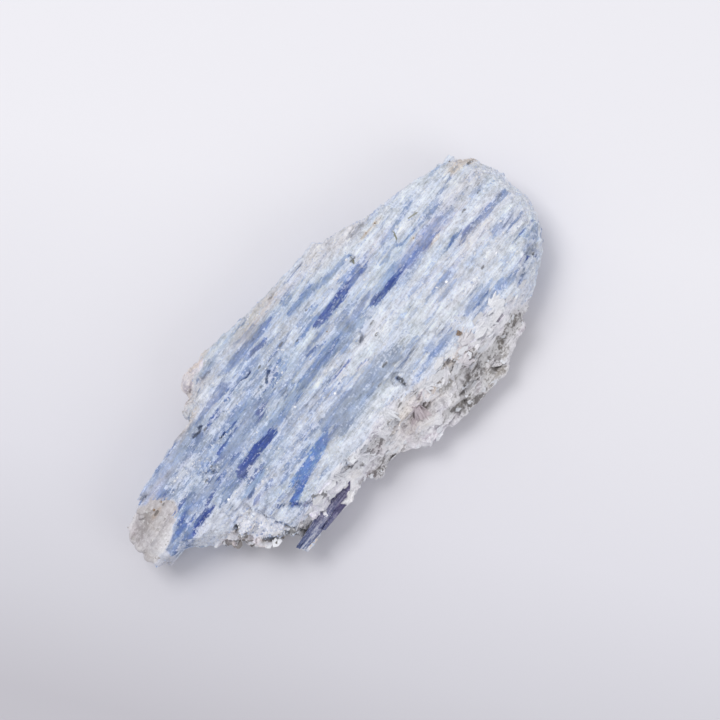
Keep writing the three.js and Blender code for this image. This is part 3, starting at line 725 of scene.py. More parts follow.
def total(tree, *terms):
    """The sum of terms, each a value and its factor."""
    result = calc(tree, "MULTIPLY", *terms[0])
    for value, factor in terms[1:]:
        summed = add(tree, "Math", {"operation": "MULTIPLY_ADD"}, i0=value, i1=factor, i2=result)
        result = summed.outputs[0]
    return result


def between(tree, value, low, high):
    """0 below low, 1 above high, and a smooth rise between them."""
    settings = {"interpolation_type": "SMOOTHSTEP"}
    return add(tree, "MapRange", settings, Value=value, From_Min=low, From_Max=high).outputs[0]


def blend(tree, share, under, over, way="MIX"):
    """One colour laid over another."""
    made = add(tree, "Mix", {"data_type": "RGBA", "blend_type": way, "clamp_result": True})
    for socket, value in ((made.inputs[0], share), (made.inputs[6], under), (made.inputs[7], over)):
        if isinstance(value, bpy.types.NodeSocket):
            tree.links.new(value, socket)
        else:
            socket.default_value = value
    return made.outputs[2]


def srgb(red, green, blue):
    """A colour as it looks on a screen, 0 to 255, in the shader's own scale."""
    parts = [value / 255 for value in (red, green, blue)]
    return (*(part / 12.92 if part < 0.04045 else ((part + 0.055) / 1.055) ** 2.4 for part in parts), 1)


def ramp(tree, value, stops):
    """A colour for each height of a value."""
    made = add(tree, "ValToRGB", Fac=value)
    line = made.color_ramp
    while len(line.elements) < len(stops):
        line.elements.new(0.5)
    for element, (place, colour) in zip(line.elements, stops):
        element.position = place
        element.color = colour
    return made.outputs[0]


def material(name):
    """A new material with nothing in it but its output and a Principled shader."""
    made = bpy.data.materials.new(name)
    made.use_nodes = True
    tree = made.node_tree
    return made, tree, tree.nodes["Principled BSDF"]


def group(name, inputs, outputs):
    """A new node group with named number inputs, by their values, and named outputs."""
    tree = bpy.data.node_groups.new(name, "ShaderNodeTree")
    number = {"socket_type": "NodeSocketFloat"}
    for label, value in inputs:
        tree.interface.new_socket(label, in_out="INPUT", **number).default_value = value
    for label in outputs:
        tree.interface.new_socket(label, in_out="OUTPUT", **number)
    return tree, tree.nodes.new("NodeGroupInput"), tree.nodes.new("NodeGroupOutput")


# Grain: the fine lines that run along every blade, the fine crumbs of broken crystal, and one
# number for each fine blade, all either side of 0, and the seams between the blades, from 0 to 1.
# Stretch is how many times longer the lines and the blades are than wide.
grain, grain_in, grain_out = group(
    "stone_grain", [("Per mm", 1.0), ("Stretch", 12.0)],
    ["Lines", "Fine lines", "Crumbs", "Fine crumbs", "Blades", "Fine blades", "Seams"],
)
to_mm = (1000, 1000, 1000)
turn_back = (0, 0, -grain_turn)
turned = add(grain, "Mapping", Vector=object_place(grain), Rotation=turn_back, Scale=to_mm).outputs[0]
split = add(grain, "SeparateXYZ", Vector=turned)
shortened = calc(grain, "DIVIDE", split.outputs[0], grain_in.outputs["Stretch"])
squeezed = add(grain, "CombineXYZ", X=shortened, Y=split.outputs[1], Z=split.outputs[2]).outputs[0]
for label, where, scale, detail, rough_share in (
    ("Lines", squeezed, 1.0, 3.0, 0.55),
    ("Fine lines", squeezed, 3.4, 3.0, 0.6),
    ("Crumbs", turned, 2.2, 4.0, 0.65),
    ("Fine crumbs", turned, 7.0, 3.0, 0.7),
):
    finer = calc(grain, "MULTIPLY", grain_in.outputs["Per mm"], scale)
    noise = add(grain, "TexNoise", Vector=where, Scale=finer, Detail=detail, Roughness=rough_share)
    centred = calc(grain, "SUBTRACT", noise.outputs["Fac"], 0.5)
    grain.links.new(centred, grain_out.inputs[label])
    if label == "Fine lines":
        bend = noise.outputs["Color"]
bend_by = (0.8, 0.8, 0.8)
bent = add(grain, "VectorMath", {"operation": "MULTIPLY_ADD"}, i0=bend, i1=bend_by, i2=squeezed).outputs[0]
for label, scale in (("Blades", 2.0), ("Fine blades", 4.3)):
    finer = calc(grain, "MULTIPLY", grain_in.outputs["Per mm"], scale)
    cell = add(grain, "TexVoronoi", Vector=bent, Scale=finer)
    number = add(grain, "SeparateColor", Color=cell.outputs["Color"]).outputs[0]
    grain.links.new(calc(grain, "SUBTRACT", number, 0.5), grain_out.inputs[label])
finer = calc(grain, "MULTIPLY", grain_in.outputs["Per mm"], 2.0)
off_edge = add(grain, "TexVoronoi", {"feature": "DISTANCE_TO_EDGE"}, Vector=bent, Scale=finer)
inside_blade = between(grain, off_edge.outputs["Distance"], 0.0, 0.09)
grain.links.new(calc(grain, "SUBTRACT", 1.0, inside_blade), grain_out.inputs["Seams"])


def grain_of(tree, per_mm, stretch):
    """The grain group's outputs in a material."""
    made = add(tree, "Group", {"node_tree": grain})
    made.inputs["Per mm"].default_value = per_mm
    made.inputs["Stretch"].default_value = stretch
    return list(made.outputs)


stone_finish, tree, shader = material("bladed_kyanite")
mark = {
    name: read(tree, name)
    for name in (
        "edge", "blue", "broad", "clear", "violet", "grey", "white", "tan", "dark_specks_and_shade", "tone", "rock", "quartz",
        "rock_tone", "hollow", "near_rock",
    )
}
lines, fine_lines, crumbs, fine_crumbs, bladed, fine_bladed, seams = grain_of(tree, 0.55, 5.0)
stretch = (0.2, 1, 1)
stretched = add(tree, "Mapping", Vector=object_place(tree), Rotation=turn_back, Scale=stretch).outputs[0]
long_lines, long_fine_lines, _, _, long_bladed, long_fine_bladed, long_seams = grain_of(tree, 0.9, 14.0)
clots = add(tree, "TexNoise", Vector=object_place(tree), Scale=600.0, Detail=3.0)
patchy = calc(tree, "SUBTRACT", clots.outputs["Fac"], 0.5)
dashes = total(
    tree, (between(tree, bladed, 0.24, 0.34), 0.2), (between(tree, fine_bladed, 0.26, 0.34), 0.08),
)
# The hollow term is painted shade: the blue is deeper and darker in the hollows of the relief.
base = total(
    tree, (1.0, 0.2), (mark["broad"], 0.9), (mark["tone"], 0.1), (lines, 0.45), (fine_lines, 0.25),
    (crumbs, 0.75), (long_lines, 0.2), (long_fine_lines, 0.25), (patchy, 0.25), (mark["hollow"], 0.5),
    (mark["edge"], 0.14), (bladed, 0.22), (fine_bladed, 0.08), (dashes, 1.0),
)
edge_field = total(tree, (mark["edge"], 1.0), (long_fine_lines, 0.9), (fine_lines, 0.3), (crumbs, 0.6))
inside = between(tree, edge_field, 0.62, 0.96)
deep = total(
    tree, (mark["blue"], 1.0), (lines, 0.3), (fine_lines, 0.4), (crumbs, 0.5), (long_fine_lines, 0.4),
    (bladed, 0.14), (fine_bladed, 0.1),
)
depth = add(tree, "Mix", {"data_type": "FLOAT"}, i0=inside, i2=base, i3=deep).outputs[0]
kyanite_colour = ramp(tree, depth, [
    (0.0, srgb(226, 232, 242)),
    (0.2, srgb(206, 216, 235)),
    (0.4, srgb(177, 193, 222)),
    (0.55, srgb(147, 167, 205)),
    (0.7, srgb(112, 138, 189)),
    (0.85, srgb(78, 105, 172)),
    (1.0, srgb(42, 72, 152)),
])
steel = add(tree, "TexNoise", Vector=stretched, Scale=260.0, Detail=2.0).outputs
greyed = add(tree, "HueSaturation", Color=kyanite_colour, Saturation=0.6, Value=0.97).outputs[0]
steely = calc(tree, "MULTIPLY", between(tree, steel["Fac"], 0.44, 0.62), 0.5)
kyanite_colour = blend(tree, steely, kyanite_colour, greyed)
cast = ramp(tree, add(tree, "SeparateColor", Color=steel["Color"]).outputs[1], [
    (0.36, (1.012, 0.985, 1.0, 1)), (0.5, (1, 1, 1, 1)), (0.64, (0.972, 1.0, 0.992, 1)),
])
kyanite_colour = blend(tree, 1.0, kyanite_colour, cast, "MULTIPLY")
clear_tint = (0.69, 0.95, 1.24, 1)
violet_tint = (1.04, 0.92, 0.96, 1)
clear_share = calc(tree, "MULTIPLY", mark["clear"], inside)
grey_share = calc(tree, "MULTIPLY", mark["grey"], 0.6)
kyanite_colour = blend(tree, clear_share, kyanite_colour, clear_tint, "MULTIPLY")
kyanite_colour = blend(tree, mark["violet"], kyanite_colour, violet_tint, "MULTIPLY")
kyanite_colour = blend(tree, grey_share, kyanite_colour, srgb(146, 151, 164))

# The colours of the rock and of the quartz in it.
rock_depth = total(tree, (1.0, 0.53), (mark["rock_tone"], 0.6), (crumbs, 0.5), (fine_crumbs, 0.1))
rock_colour = ramp(tree, rock_depth, [
    (0.0, srgb(134, 130, 128)),
    (0.22, srgb(184, 181, 181)),
    (0.42, srgb(216, 214, 217)),
    (0.68, srgb(238, 237, 240)),
    (1.0, srgb(247, 246, 249)),
])
tinting = add(tree, "TexNoise", Vector=object_place(tree), Scale=210.0, Detail=3.0).outputs["Fac"]
rock_tint = ramp(tree, tinting, [
    (0.3, (0.93, 0.86, 0.93, 1)),
    (0.45, (0.97, 0.96, 1.0, 1)),
    (0.58, (0.99, 0.99, 1.0, 1)),
    (0.72, (0.97, 0.92, 0.85, 1)),
])
beside_blades = (0.94, 0.975, 1.07, 1)
rock_colour = blend(tree, 1.0, rock_colour, rock_tint, "MULTIPLY")
rock_colour = blend(tree, mark["near_rock"], rock_colour, beside_blades, "MULTIPLY")
quartz_colour = ramp(tree, rock_depth, [
    (0.0, srgb(158, 152, 153)),
    (0.4, srgb(183, 178, 180)),
    (0.7, srgb(200, 196, 198)),
    (1.0, srgb(230, 229, 231)),
])
quartz_colour = blend(tree, 0.5, quartz_colour, rock_tint, "MULTIPLY")
rock_colour = blend(tree, mark["quartz"], rock_colour, quartz_colour)
colour = blend(tree, mark["rock"], kyanite_colour, rock_colour)

# Over both: frost in drifts, painted light and shade from blade to blade, stains, painted shade in pits, and
# dark spots with painted shade in cracks, gaps and under the overhang.
frost_field = total(
    tree, (crumbs, 1.2), (fine_crumbs, 0.35), (fine_lines, 0.5), (long_fine_lines, 0.5), (mark["white"], 0.3),
    (mark["hollow"], -0.3), (seams, 0.08), (long_bladed, 0.06), (inside, -0.1),
)
frost = between(tree, frost_field, 0.02, 0.17)
frost_colour = blend(tree, mark["white"], srgb(222, 230, 246), srgb(241, 242, 248))
frost_colour = blend(tree, mark["rock"], frost_colour, srgb(241, 240, 243))
frosted = calc(tree, "MULTIPLY", frost, total(tree, (1.0, 0.6), (mark["quartz"], -0.35)))
colour = blend(tree, frosted, colour, frost_colour)
# Painted light and shade: each blade and fleck is made a little brighter or darker by the grain, as if its
# facets caught the light differently, with painted shade in the long seams between blades.
blade_light_and_shade = total(
    tree, (1.0, 1.02), (fine_lines, 0.5), (long_fine_lines, 0.6), (crumbs, 0.75), (fine_crumbs, 0.7),
    (bladed, 0.1), (fine_bladed, 0.16), (long_bladed, 0.06), (long_fine_bladed, 0.08), (patchy, 0.8),
    (long_seams, -0.09),
)
blade_light_share = total(tree, (1.0, 1.0), (mark["rock"], -0.5), (mark["quartz"], -0.3))
colour = blend(tree, blade_light_share, colour, blade_light_and_shade, "MULTIPLY")
stain_and_shade_tint = (0.93, 0.8, 0.66, 1)
# Painted shade of small pits, scattered by the grain and gathered in the hollows of the relief.
pit_shade_tint = (0.66, 0.66, 0.7, 1)
colour = blend(tree, mark["tan"], colour, stain_and_shade_tint, "MULTIPLY")
pit_shade_field = total(
    tree, (fine_lines, 0.9), (crumbs, 1.2), (fine_crumbs, 0.6), (mark["hollow"], 0.6), (mark["grey"], 0.12),
)
pit_shade_share = calc(tree, "MULTIPLY", between(tree, pit_shade_field, 0.2, 0.32), 0.32)
colour = blend(tree, pit_shade_share, colour, pit_shade_tint, "MULTIPLY")
# Dark specks of the stone itself, and the painted shade of the cracks, the gaps beside the rock and the
# overhang, all blended to one dark grey.
dark_and_shade_field = total(tree, (mark["dark_specks_and_shade"], 1.0), (crumbs, 1.2), (fine_crumbs, 0.8))
dark_and_shade_share = calc(tree, "MULTIPLY", between(tree, dark_and_shade_field, 0.6, 0.95), 0.75)
colour = blend(tree, dark_and_shade_share, colour, srgb(84, 82, 82))
tree.links.new(colour, shader.inputs["Base Color"])

# Sheen and fine relief.
rough_value = total(
    tree, (1.0, 0.42), (mark["rock"], 0.2), (mark["quartz"], -0.3), (frost, 0.2), (crumbs, 0.5),
)
tree.links.new(rough_value, shader.inputs["Roughness"])
height = total(
    tree, (fine_lines, 0.8), (lines, 1.0), (frost, 0.12), (crumbs, 0.8), (fine_crumbs, 0.25), (bladed, 0.4),
    (fine_bladed, 0.3), (long_fine_bladed, 0.2), (seams, -0.1), (long_seams, -0.12),
)
bump_strength = total(tree, (1.0, 0.8), (mark["rock"], -0.3), (mark["quartz"], -0.15))
bump_depth = 0.0002
bump = add(tree, "Bump", Strength=bump_strength, Distance=bump_depth, Height=height)
tree.links.new(bump.outputs[0], shader.inputs["Normal"])
shader.inputs["Coat Weight"].default_value = 0.12
shader.inputs["Coat Roughness"].default_value = 0.25
stone.data.materials.append(stone_finish)
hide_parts("kyanite")
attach(stone, "root")


# Splinters: thin cleavage flakes and slivers of kyanite that lie along the blades all over the
# stone. Each is a crisp solid of its own, sunk into the skin, and coloured like what it lies on.
rng = np.random.default_rng(23)
splinter_count = 3000
floor_gap = 0.05
skin_tree = BVHTree.FromPolygons(worked.tolist(), quads.tolist())
share = (1 - rock[quads[:, 0]]) * step_up(worked[quads[:, 0], 2], 2, 3)
seat, facing, chosen = scatter(worked, quads, share, splinter_count, rng)
plain = (streaks(seat, dark_runs)[0] == 0) & (shelf[quads[chosen, 0]] < 0.5) & (seat[:, 0] < 46)
seat, facing, chosen = seat[plain], facing[plain], chosen[plain]
along, up = laid_along(facing, rng, 0.035)
wide = rng.uniform(0.3, 1.0, len(seat)) ** 1.3 * 1.1
long = rng.uniform(1.8, 5, len(seat)) * wide ** 0.4
centre, long = fitted(skin_tree, seat, along, long, 0.1)
centre += facing * rng.uniform(-0.06, 0.07, (len(seat), 1))
sliver_points, sliver_faces = blades(centre, along, up, long, wide, np.full(len(seat), 0.6), rng)
sliver_points[:, 2] = np.maximum(sliver_points[:, 2], floor_gap)
splinters = mesh_object("kyanite_splinters", sliver_points, sliver_faces)
under = np.repeat(quads[chosen, 0], 12)
paint(splinters, **colour_fields(sliver_points, np.repeat(centre, 12, 0), smooth_up[under]))
no_rock = dict.fromkeys(("rock", "quartz", "rock_tone", "hollow"), np.zeros(len(under)))
paint(splinters, tone=np.repeat(rng.uniform(-1, 1, len(seat)), 12), **no_rock)
splinters.data.materials.append(stone_finish)
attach(splinters, "root")


# Frost: the crushed white crumbs of kyanite that cling to the blades in drifts.
def grit(centre, radius, rng):
    """Eight-sided crumbs: six corners, before and behind the centre on three ways square to each
    other and turned by chance, each at the radius less a part by chance."""
    first = unit(rng.normal(size=centre.shape))
    second = unit(np.cross(first, rng.normal(size=centre.shape)))
    third = np.cross(first, second)
    reach = (radius[:, None] * rng.uniform(0.5, 1.1, (len(centre), 6)))[..., None]
    ways = np.stack([first, second, -first, -second, third, -third], 1)
    upper = [[k, (k + 1) % 4, 4] for k in range(4)]
    lower = [[(k + 1) % 4, k, 5] for k in range(4)]
    faces = [[i * 6 + k for k in face] for i in range(len(centre)) for face in upper + lower]
    return (centre[:, None] + ways * reach).reshape(-1, 3), faces


drift = 0.04 + step_up(cloud(worked, (2.6, 1.2, 1.2), 80) + 0.5 * (hollow < 0) + shelf, 0.6, 1.0)
edge, _ = streaks(worked, blue_runs)
share = (drift * (1 - rock) * (edge < 0.35))[quads[:, 0]] * step_up(worked[quads[:, 0], 2], 3, 5)
crumb_count = 5200
seat, _, chosen = scatter(worked, quads, share, crumb_count, rng)
radius = 0.1 + 0.22 * rng.random(len(seat)) ** 2 + 0.15 * shelf[quads[chosen, 0]]
crumb_points, crumb_faces = grit(seat, radius, rng)
frost_crumbs = mesh_object("frost_crumbs", crumb_points, crumb_faces)
paint(frost_crumbs, tone=np.repeat(rng.random(len(seat)), 6))
crumb_finish, tree, shader = material("frosted_kyanite")
crumb_colour = ramp(tree, read(tree, "tone"), [
    (0.0, srgb(178, 190, 218)), (0.35, srgb(210, 216, 230)), (1.0, srgb(240, 240, 242)),
])
tree.links.new(crumb_colour, shader.inputs["Base Color"])
shader.inputs["Roughness"].default_value = 0.4
frost_crumbs.data.materials.append(crumb_finish)
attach(frost_crumbs, "root")


# Mica: the silvery flakes of the rock that the blades grew in. They stand in sprays, each spray's
# flakes nearly on one lean, and break out of the near flank, the far corner and the underside.
def plates(centre, normal, radius, thick, rng):
    """Thin six-cornered flakes: corners at every 60 degrees round the normal, at the radius less a
    part by chance, half a thickness below and above the centre."""
    side = unit(np.cross(normal, rng.normal(size=normal.shape)))
    other = np.cross(normal, side)
    turn = np.arange(6) * math.pi / 3
    reach = radius[:, None] * rng.uniform(0.55, 1.1, (len(centre), 6))
    ring = (reach * np.cos(turn))[..., None] * side[:, None]
    ring += (reach * np.sin(turn))[..., None] * other[:, None]
    lift = (normal * thick[:, None] / 2)[:, None]
    return six_sided(centre[:, None] + np.concatenate([ring - lift, ring + lift], 1))


flake_count = 560
patches = 0.25 + step_up(cloud(worked, (7, 3.5, 3.5), 81), 0.4, 0.6)
patches *= 1 - 0.8 * step_up(worked[:, 1], 16, 18)
share = (rock * (1 - quartz) * patches)[quads[:, 0]] * (0.3 + step_up(outward[quads[:, 0], 2], -0.6, 0.2))
share *= step_up(worked[quads[:, 0], 2], 1, 2)
seat, facing, chosen = scatter(worked, quads, share, flake_count, rng)
kept = (seat[:, 0] > -16) | (seat[:, 1] > -14.5)
seat, facing, chosen = seat[kept], facing[kept], chosen[kept]
_, spray, _ = cells(seat, 4.2, 70)
spray_lean = [1.6, 1.4, 1.4] * (spray - 0.5)
lean = unit([2.0, 3.0, 3.0] * facing + spray_lean + rng.normal(0, 0.25, seat.shape))
radius = 0.2 + 0.9 * rng.random(len(seat)) ** 2.4
flake_points, flake_faces = plates(seat - 0.05 * facing, lean, radius, np.full(len(seat), 0.06), rng)
middle = np.repeat(seat, 12, 0)
flake_points = middle + (flake_points - middle) * [1.3, 0.9, 0.9]
flake_points[:, 2] = np.maximum(flake_points[:, 2], floor_gap)
mica = mesh_object("mica_flakes", flake_points, flake_faces)
warm_middle = [4.4, -17.6]
warm_reach = [2.4, 2.6]
warm = np.exp(-(((seat[:, :2] - warm_middle) / warm_reach) ** 2).sum(1))
corner = step_up(seat[:, 1], 17, 19)
# Flakes low on the flank are darker too: partly painted shade near the floor.
dull = rng.uniform(0.35, 0.8, len(seat)) * (1 - low[quads[chosen, 0]] * (chosen % 3 > 0))
paint(mica, tone=np.repeat(dull, 12), warm=np.repeat(np.clip(warm + 0.15 * corner, 0, 1), 12))
mica_finish, tree, shader = material("mica")
flake_colour = ramp(tree, read(tree, "tone"), [
    (0.0, srgb(164, 161, 162)),
    (0.15, srgb(201, 201, 206)),
    (0.4, srgb(222, 224, 230)),
    (1.0, srgb(243, 244, 249)),
])
warm_tint = (0.74, 0.64, 0.64, 1)
_, fine_lines, crumbs, fine_crumbs, *_ = grain_of(tree, 1.0, 4.0)
streaked = total(tree, (1.0, 1.0), (fine_lines, 0.5), (crumbs, 0.6), (fine_crumbs, 0.4))
flake_colour = blend(tree, 1.0, flake_colour, streaked, "MULTIPLY")
flake_colour = blend(tree, read(tree, "warm"), flake_colour, warm_tint, "MULTIPLY")
tree.links.new(flake_colour, shader.inputs["Base Color"])
shader.inputs["Roughness"].default_value = 0.42
shader.inputs["Coat Weight"].default_value = 0.15
shader.inputs["Coat Roughness"].default_value = 0.2
mica.data.materials.append(mica_finish)
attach(mica, "root")


# Sprays: sheets of mica and fans of slender mica crystals in the near flank, white, silver, and
# one fan brown.
camera_back_in_grain = to_grain(np.array([camera_back[:]]))[0]


def on_skin(s, t):
    """Where the stone's skin is seen at each (s, t), which are places on a level 15 mm above the
    floor, as the photograph shows them: the skin's first point along the camera's line of sight."""
    clear_off = 40
    starts = np.stack([s, t, seen_height + 0 * s], 1) + clear_off * camera_back_in_grain
    hits = [skin_tree.ray_cast(start, -camera_back_in_grain) for start in starts]
    places = np.array([hit[0] if hit[0] else (0, 0, 8) for hit in hits])
    facing = np.array([hit[1] if hit[0] else (0, 0, 1) for hit in hits])
    return places, facing


def laid_between(start, end, facing):
    """For blades that lie on a surface from point to point: their middles, their ways along and up,
    and their lengths."""
    along = unit(end - start)
    return (start + end) / 2, along, square_to(along, facing), np.linalg.norm(end - start, axis=1)


rng = np.random.default_rng(31)
sheets = np.array([
    (18.8, -17.8, 1.7), (21.4, -18.6, 2.0), (24.4, -18.2, 1.6), (27.6, -18.6, 1.8), (30.4, -17.8, 1.5),
    (16.0, -18.9, 1.5), (22.6, -20.6, 1.5), (12.4, -17.0, 1.4), (33.2, -18.6, 1.4), (9.0, -15.8, 1.2),
    (-10.6, -15.2, 1.3), (-17.4, -13.6, 1.2), (-20.6, -13.4, 1.4), (0.6, -16.0, 1.2), (26.4, -16.2, 1.3),
    (14.4, -15.6, 1.2), (-24.0, -13.4, 1.1), (36.4, -19.0, 1.2),
])
place, facing = on_skin(sheets[:, 0], sheets[:, 1])
lean = unit(facing * [0.3, 1, 1] + rng.normal(0, 0.12, facing.shape))
sheet_thick = np.full(len(place), 0.12)
sheet_points, sheet_faces = plates(place + 0.15 * facing, lean, sheets[:, 2], sheet_thick, rng)
middle = np.repeat(place, 12, 0)
sheet_points = middle + (sheet_points - middle) * [1.5, 0.7, 0.7]
fans = np.array([
    (5.2, -17.6, -2.2, 3.4, 1.0), (0.4, -13.2, -1.9, 3.4, 0.05), (-3.4, -14.6, -1.2, 2.6, 0.2),
    (9.6, -16.4, -0.6, 2.8, 0.1), (14.2, -17.4, -2.4, 2.6, 0.25), (20.5, -16.8, 0.2, 3.2, 0.35),
    (25.6, -17.2, -0.8, 3.2, 0.1), (-9.5, -14.2, -1.4, 2.4, 0.1), (29.8, -16.6, -0.4, 2.8, 0.05),
    (17.4, -19.4, -0.2, 2.2, 0.5), (-15.4, -13.4, -1.0, 2.2, 0.1),
])
fan_blades = 26
fan = fans[np.repeat(np.arange(len(fans)), fan_blades)]
turn = fan[:, 2] + rng.normal(0, 0.55, len(fan))
length = fan[:, 3] * rng.uniform(0.45, 1.0, len(fan))
root = fan[:, :2] + rng.normal(0, 0.35, (len(fan), 2))
start, _ = on_skin(root[:, 0], root[:, 1])
end, facing = on_skin(root[:, 0] + length * np.cos(turn), root[:, 1] + length * np.sin(turn))
kept = np.linalg.norm(end - start, axis=1) < 4.5
start, end, facing, fan = start[kept], end[kept], facing[kept], fan[kept]
centre, along, up, long = laid_between(start, end, facing)
centre += up * rng.uniform(0.0, 0.3, (len(up), 1))
wide = rng.uniform(0.35, 0.95, len(up))
spray_points, spray_faces = blades(centre, along, up, long, wide, np.full(len(up), 0.3), rng)
sprays = mesh_object(
    "mica_sprays", np.concatenate([spray_points, sheet_points]),
    spray_faces + [[k + len(spray_points) for k in face] for face in sheet_faces],
)
tones = np.append(rng.uniform(0.3, 0.85, len(up)), rng.uniform(0.2, 0.5, len(place)))
warm = np.append(fan[:, 4], np.full(len(place), 0.06))
paint(sprays, tone=np.repeat(tones, 12), warm=np.repeat(warm, 12))
sprays.data.materials.append(mica_finish)
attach(sprays, "root")


# Sparkles: single bright flakes of mica that lie flat on the kyanite.
share = ((1 - rock) * (edge < 0.35))[quads[:, 0]] * step_up(worked[quads[:, 0], 2], 3, 5)
sparkle_count = 200
seat, facing, _ = scatter(worked, quads, share, sparkle_count, rng)
bright_spots = np.array([
    (16.2, 11.5), (15, 11.7), (15.6, 11.3), (34, 0.5), (33.4, 0.6), (26, -5.8), (28, -6.6), (19.6, 12.2),
    (18.6, 6.8), (-32, 0.8), (-30, 0.6), (-27, -2.3), (-25, -2.3), (42.5, -9.5), (44, -7.6), (10.8, -1.4),
    (12.4, -1.2), (-36, 11.8),
])
known, known_facing = on_skin(*bright_spots.T)
seat = np.concatenate([seat, known])
facing = np.concatenate([facing, known_facing])
radius = np.append(0.08 + 0.22 * rng.random(sparkle_count) ** 3, np.full(len(known), 0.3))
lean = unit(facing + rng.normal(0, 0.12, seat.shape))
thick = np.full(len(seat), 0.05)
sparkle_points, sparkle_faces = plates(seat + 0.06 * facing, lean, radius, thick, rng)
sparkles = mesh_object("mica_sparkles", sparkle_points, sparkle_faces)
sparkle_finish, tree, shader = material("bright_mica")
shader.inputs["Base Color"].default_value = srgb(236, 236, 240)
shader.inputs["Roughness"].default_value = 0.16
shader.inputs["Coat Weight"].default_value = 0.6
shader.inputs["Coat Roughness"].default_value = 0.1
sparkles.data.materials.append(sparkle_finish)
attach(sparkles, "root")


# Quartz: the milky grains of the knob, clear enough to glow a little.
rng = np.random.default_rng(43)
grain_count = 110
share = quartz[quads[:, 0]] * step_up(worked[quads[:, 0], 2], 2, 3)
seat, facing, _ = scatter(worked, quads, share, grain_count, rng)
radius = 0.16 + 0.4 * rng.random(len(seat)) ** 3
grain_points, grain_faces = grit(seat - 0.2 * radius[:, None] * facing, radius, rng)
grain_points[:, 2] = np.maximum(grain_points[:, 2], floor_gap)
quartz_grains = mesh_object("quartz_grains", grain_points, grain_faces)
paint(quartz_grains, tone=np.repeat(rng.random(len(seat)), 6))
quartz_finish, tree, shader = material("milky_quartz")
grain_colour = ramp(tree, read(tree, "tone"), [
    (0.0, srgb(210, 205, 203)), (0.6, srgb(230, 227, 226)), (1.0, srgb(244, 243, 244)),
])
tree.links.new(grain_colour, shader.inputs["Base Color"])
shader.inputs["Roughness"].default_value = 0.18
shader.inputs["IOR"].default_value = 1.54
shader.inputs["Transmission Weight"].default_value = 0.35
quartz_grains.data.materials.append(quartz_finish)
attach(quartz_grains, "root")


# Odd minerals: a brown garnet grain near the rock's edge, rust-brown grains here and there, and
# three olive flakes.
brown_grains = np.array([
    (21.5, -15.1, 1.0), (26.2, 12.4, 0.4), (28.8, 12.2, 0.3), (31, 4.1, 0.26), (47.9, 8.1, 0.34),
    (-43.1, 11.5, 0.4), (-41, 11.4, 0.3), (10.6, -17.4, 0.34), (32.4, 0.5, 0.24), (6, 6.2, 0.24),
])
place, _ = on_skin(brown_grains[:, 0], brown_grains[:, 1])
dot_points, dot_faces = grit(place, brown_grains[:, 2], rng)
garnets = mesh_object("garnet_grains", dot_points, dot_faces)
garnet_finish, tree, shader = material("brown_garnet")
mottled = add(tree, "TexNoise", Vector=object_place(tree), Scale=900.0, Detail=2.0).outputs["Fac"]
brown = ramp(tree, mottled, [(0.35, srgb(104, 88, 78)), (0.65, srgb(182, 156, 130))])
tree.links.new(brown, shader.inputs["Base Color"])
shader.inputs["Roughness"].default_value = 0.35
garnets.data.materials.append(garnet_finish)
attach(garnets, "root")

olive_runs = np.array([
    (33.5, 7.5, 35.6, 6.8, 0.5), (28.8, 6.6, 29.8, 8.4, 0.45), (20.0, 10.4, 20.6, 11.9, 0.5),
])
start, _ = on_skin(olive_runs[:, 0], olive_runs[:, 1])
end, facing = on_skin(olive_runs[:, 2], olive_runs[:, 3])
centre, along, up, long = laid_between(start, end, facing)
centre += 0.12 * up
olive_points, olive_faces = blades(centre, along, up, long, olive_runs[:, 4], np.full(len(up), 0.3), rng)
olives = mesh_object("olive_flakes", olive_points, olive_faces)
olive_finish, tree, shader = material("olive_mica")
shader.inputs["Base Color"].default_value = srgb(140, 142, 128)
shader.inputs["Roughness"].default_value = 0.3
olives.data.materials.append(olive_finish)
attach(olives, "root")


# The violet crystals under the near edge: clean blades that run out to a blunt point, clear
# enough to see into, grey-blue towards the point and violet where they run in under the rock.
rng = np.random.default_rng(5)
crystal_turn = 0.017
crystal_tip = math.radians(16)
along = unit(np.array([[math.cos(crystal_turn), math.sin(crystal_turn), 0.06]] * 3))
up = square_to(along, unit(np.array([[0, -math.sin(crystal_tip), math.cos(crystal_tip)]] * 3)))
centre = np.array([[-22.8, -15.4, 8.9], [-26.6, -14.7, 9.1], [-22.0, -16.6, 8.75]])
long = np.array([16.0, 7.6, 6.4])
wide = np.array([3.6, 1.6, 1.5])
deep = np.array([2.6, 1.2, 1.2])
crystal_points, crystal_faces = blades(centre, along, up, long, wide, deep, rng)
violet = mesh_object("violet_crystals", crystal_points, crystal_faces)
paint(violet, tone=step_up(crystal_points[:, 0], -31, -19))
violet_finish, tree, shader = material("violet_kyanite")
lines, fine_lines, crumbs, *_ = grain_of(tree, 1.0, 10.0)
point_depth = total(tree, (1.0, 0.5), (lines, 1.8), (fine_lines, 1.4), (crumbs, 1.6))
point_colour = ramp(tree, point_depth, [
    (0.2, srgb(90, 105, 152)), (0.5, srgb(138, 149, 186)), (0.8, srgb(208, 213, 228)),
])
root_depth = total(tree, (1.0, 0.5), (lines, 1.8), (fine_lines, 0.9), (crumbs, 1.6))
root_colour = ramp(tree, root_depth, [
    (0.2, srgb(62, 55, 100)), (0.5, srgb(90, 81, 127)), (0.8, srgb(154, 146, 182)),
])
crystal_colour = blend(tree, read(tree, "tone"), point_colour, root_colour)
tree.links.new(crystal_colour, shader.inputs["Base Color"])
shader.inputs["Roughness"].default_value = 0.22
shader.inputs["IOR"].default_value = 1.72
shader.inputs["Transmission Weight"].default_value = 0.25
violet.data.materials.append(violet_finish)
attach(violet, "root")


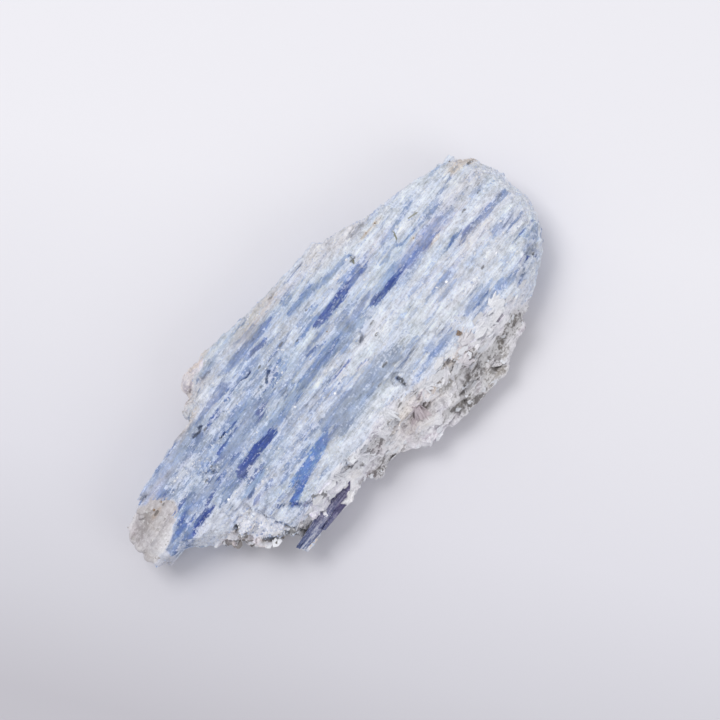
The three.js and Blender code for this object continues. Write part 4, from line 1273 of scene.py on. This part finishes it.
# The floor is a pale sheet, and isn't part of the stone. Its colour is painted darker towards -x and -y:
# painted shade for the light falling off across it, with a soft mottle.
floor_mesh = bpy.data.meshes.new("floor")
floor_mesh.from_pydata([(-3, -3, 0), (3, -3, 0), (3, 3, 0), (-3, 3, 0)], [], [(0, 1, 2, 3)])
floor = bpy.data.objects.new("floor", floor_mesh)
bpy.context.collection.objects.link(floor)
floor_finish, tree, shader = material("pale_floor")
cloudy = add(tree, "TexNoise", Vector=object_place(tree), Scale=3.0, Detail=2.0).outputs["Fac"]
x, y, _ = add(tree, "SeparateXYZ", Vector=object_place(tree)).outputs
floor_light_falloff = total(tree, (1.0, 0.47), (x, 4.8), (y, 3.0), (cloudy, 0.06))
floor_shaded_colour = ramp(tree, floor_light_falloff, [
    (0.08, srgb(194, 192, 199)),
    (0.2, srgb(210, 209, 216)),
    (0.36, srgb(224, 223, 230)),
    (0.5, srgb(230, 229, 235)),
    (0.72, srgb(237, 236, 241)),
])
tree.links.new(floor_shaded_colour, shader.inputs["Base Color"])
shader.inputs["Roughness"].default_value = 0.7
floor.data.materials.append(floor_finish)

# Light: a soft key from beyond the far flank, as in the photograph, and pale light all round.
world = bpy.data.worlds.new("studio")
world.use_nodes = True
background = world.node_tree.nodes["Background"]
background.inputs["Color"].default_value = (0.97, 0.975, 1.0, 1)
background.inputs["Strength"].default_value = 0.6
bpy.context.scene.world = world


def softbox(name, place, aim, width, power, colour):
    """A square area light that points from its place at its aim."""
    data = bpy.data.lights.new(name, "AREA")
    data.size = width
    data.energy = power
    data.color = colour
    light = bpy.data.objects.new(name, data)
    light.location = place
    light.rotation_euler = (Vector(aim) - Vector(place)).to_track_quat("-Z", "Y").to_euler()
    bpy.context.collection.objects.link(light)


softbox("key", (0.0, 0.42, 1.0), (0, 0, 0), width=0.55, power=4.6, colour=(1.0, 0.99, 0.98))
softbox("fill", (0.2, -0.8, 0.55), (0, 0, 0), width=0.5, power=1.6, colour=(1.0, 1.0, 1.0))
bpy.context.scene.view_settings.view_transform = "Standard"
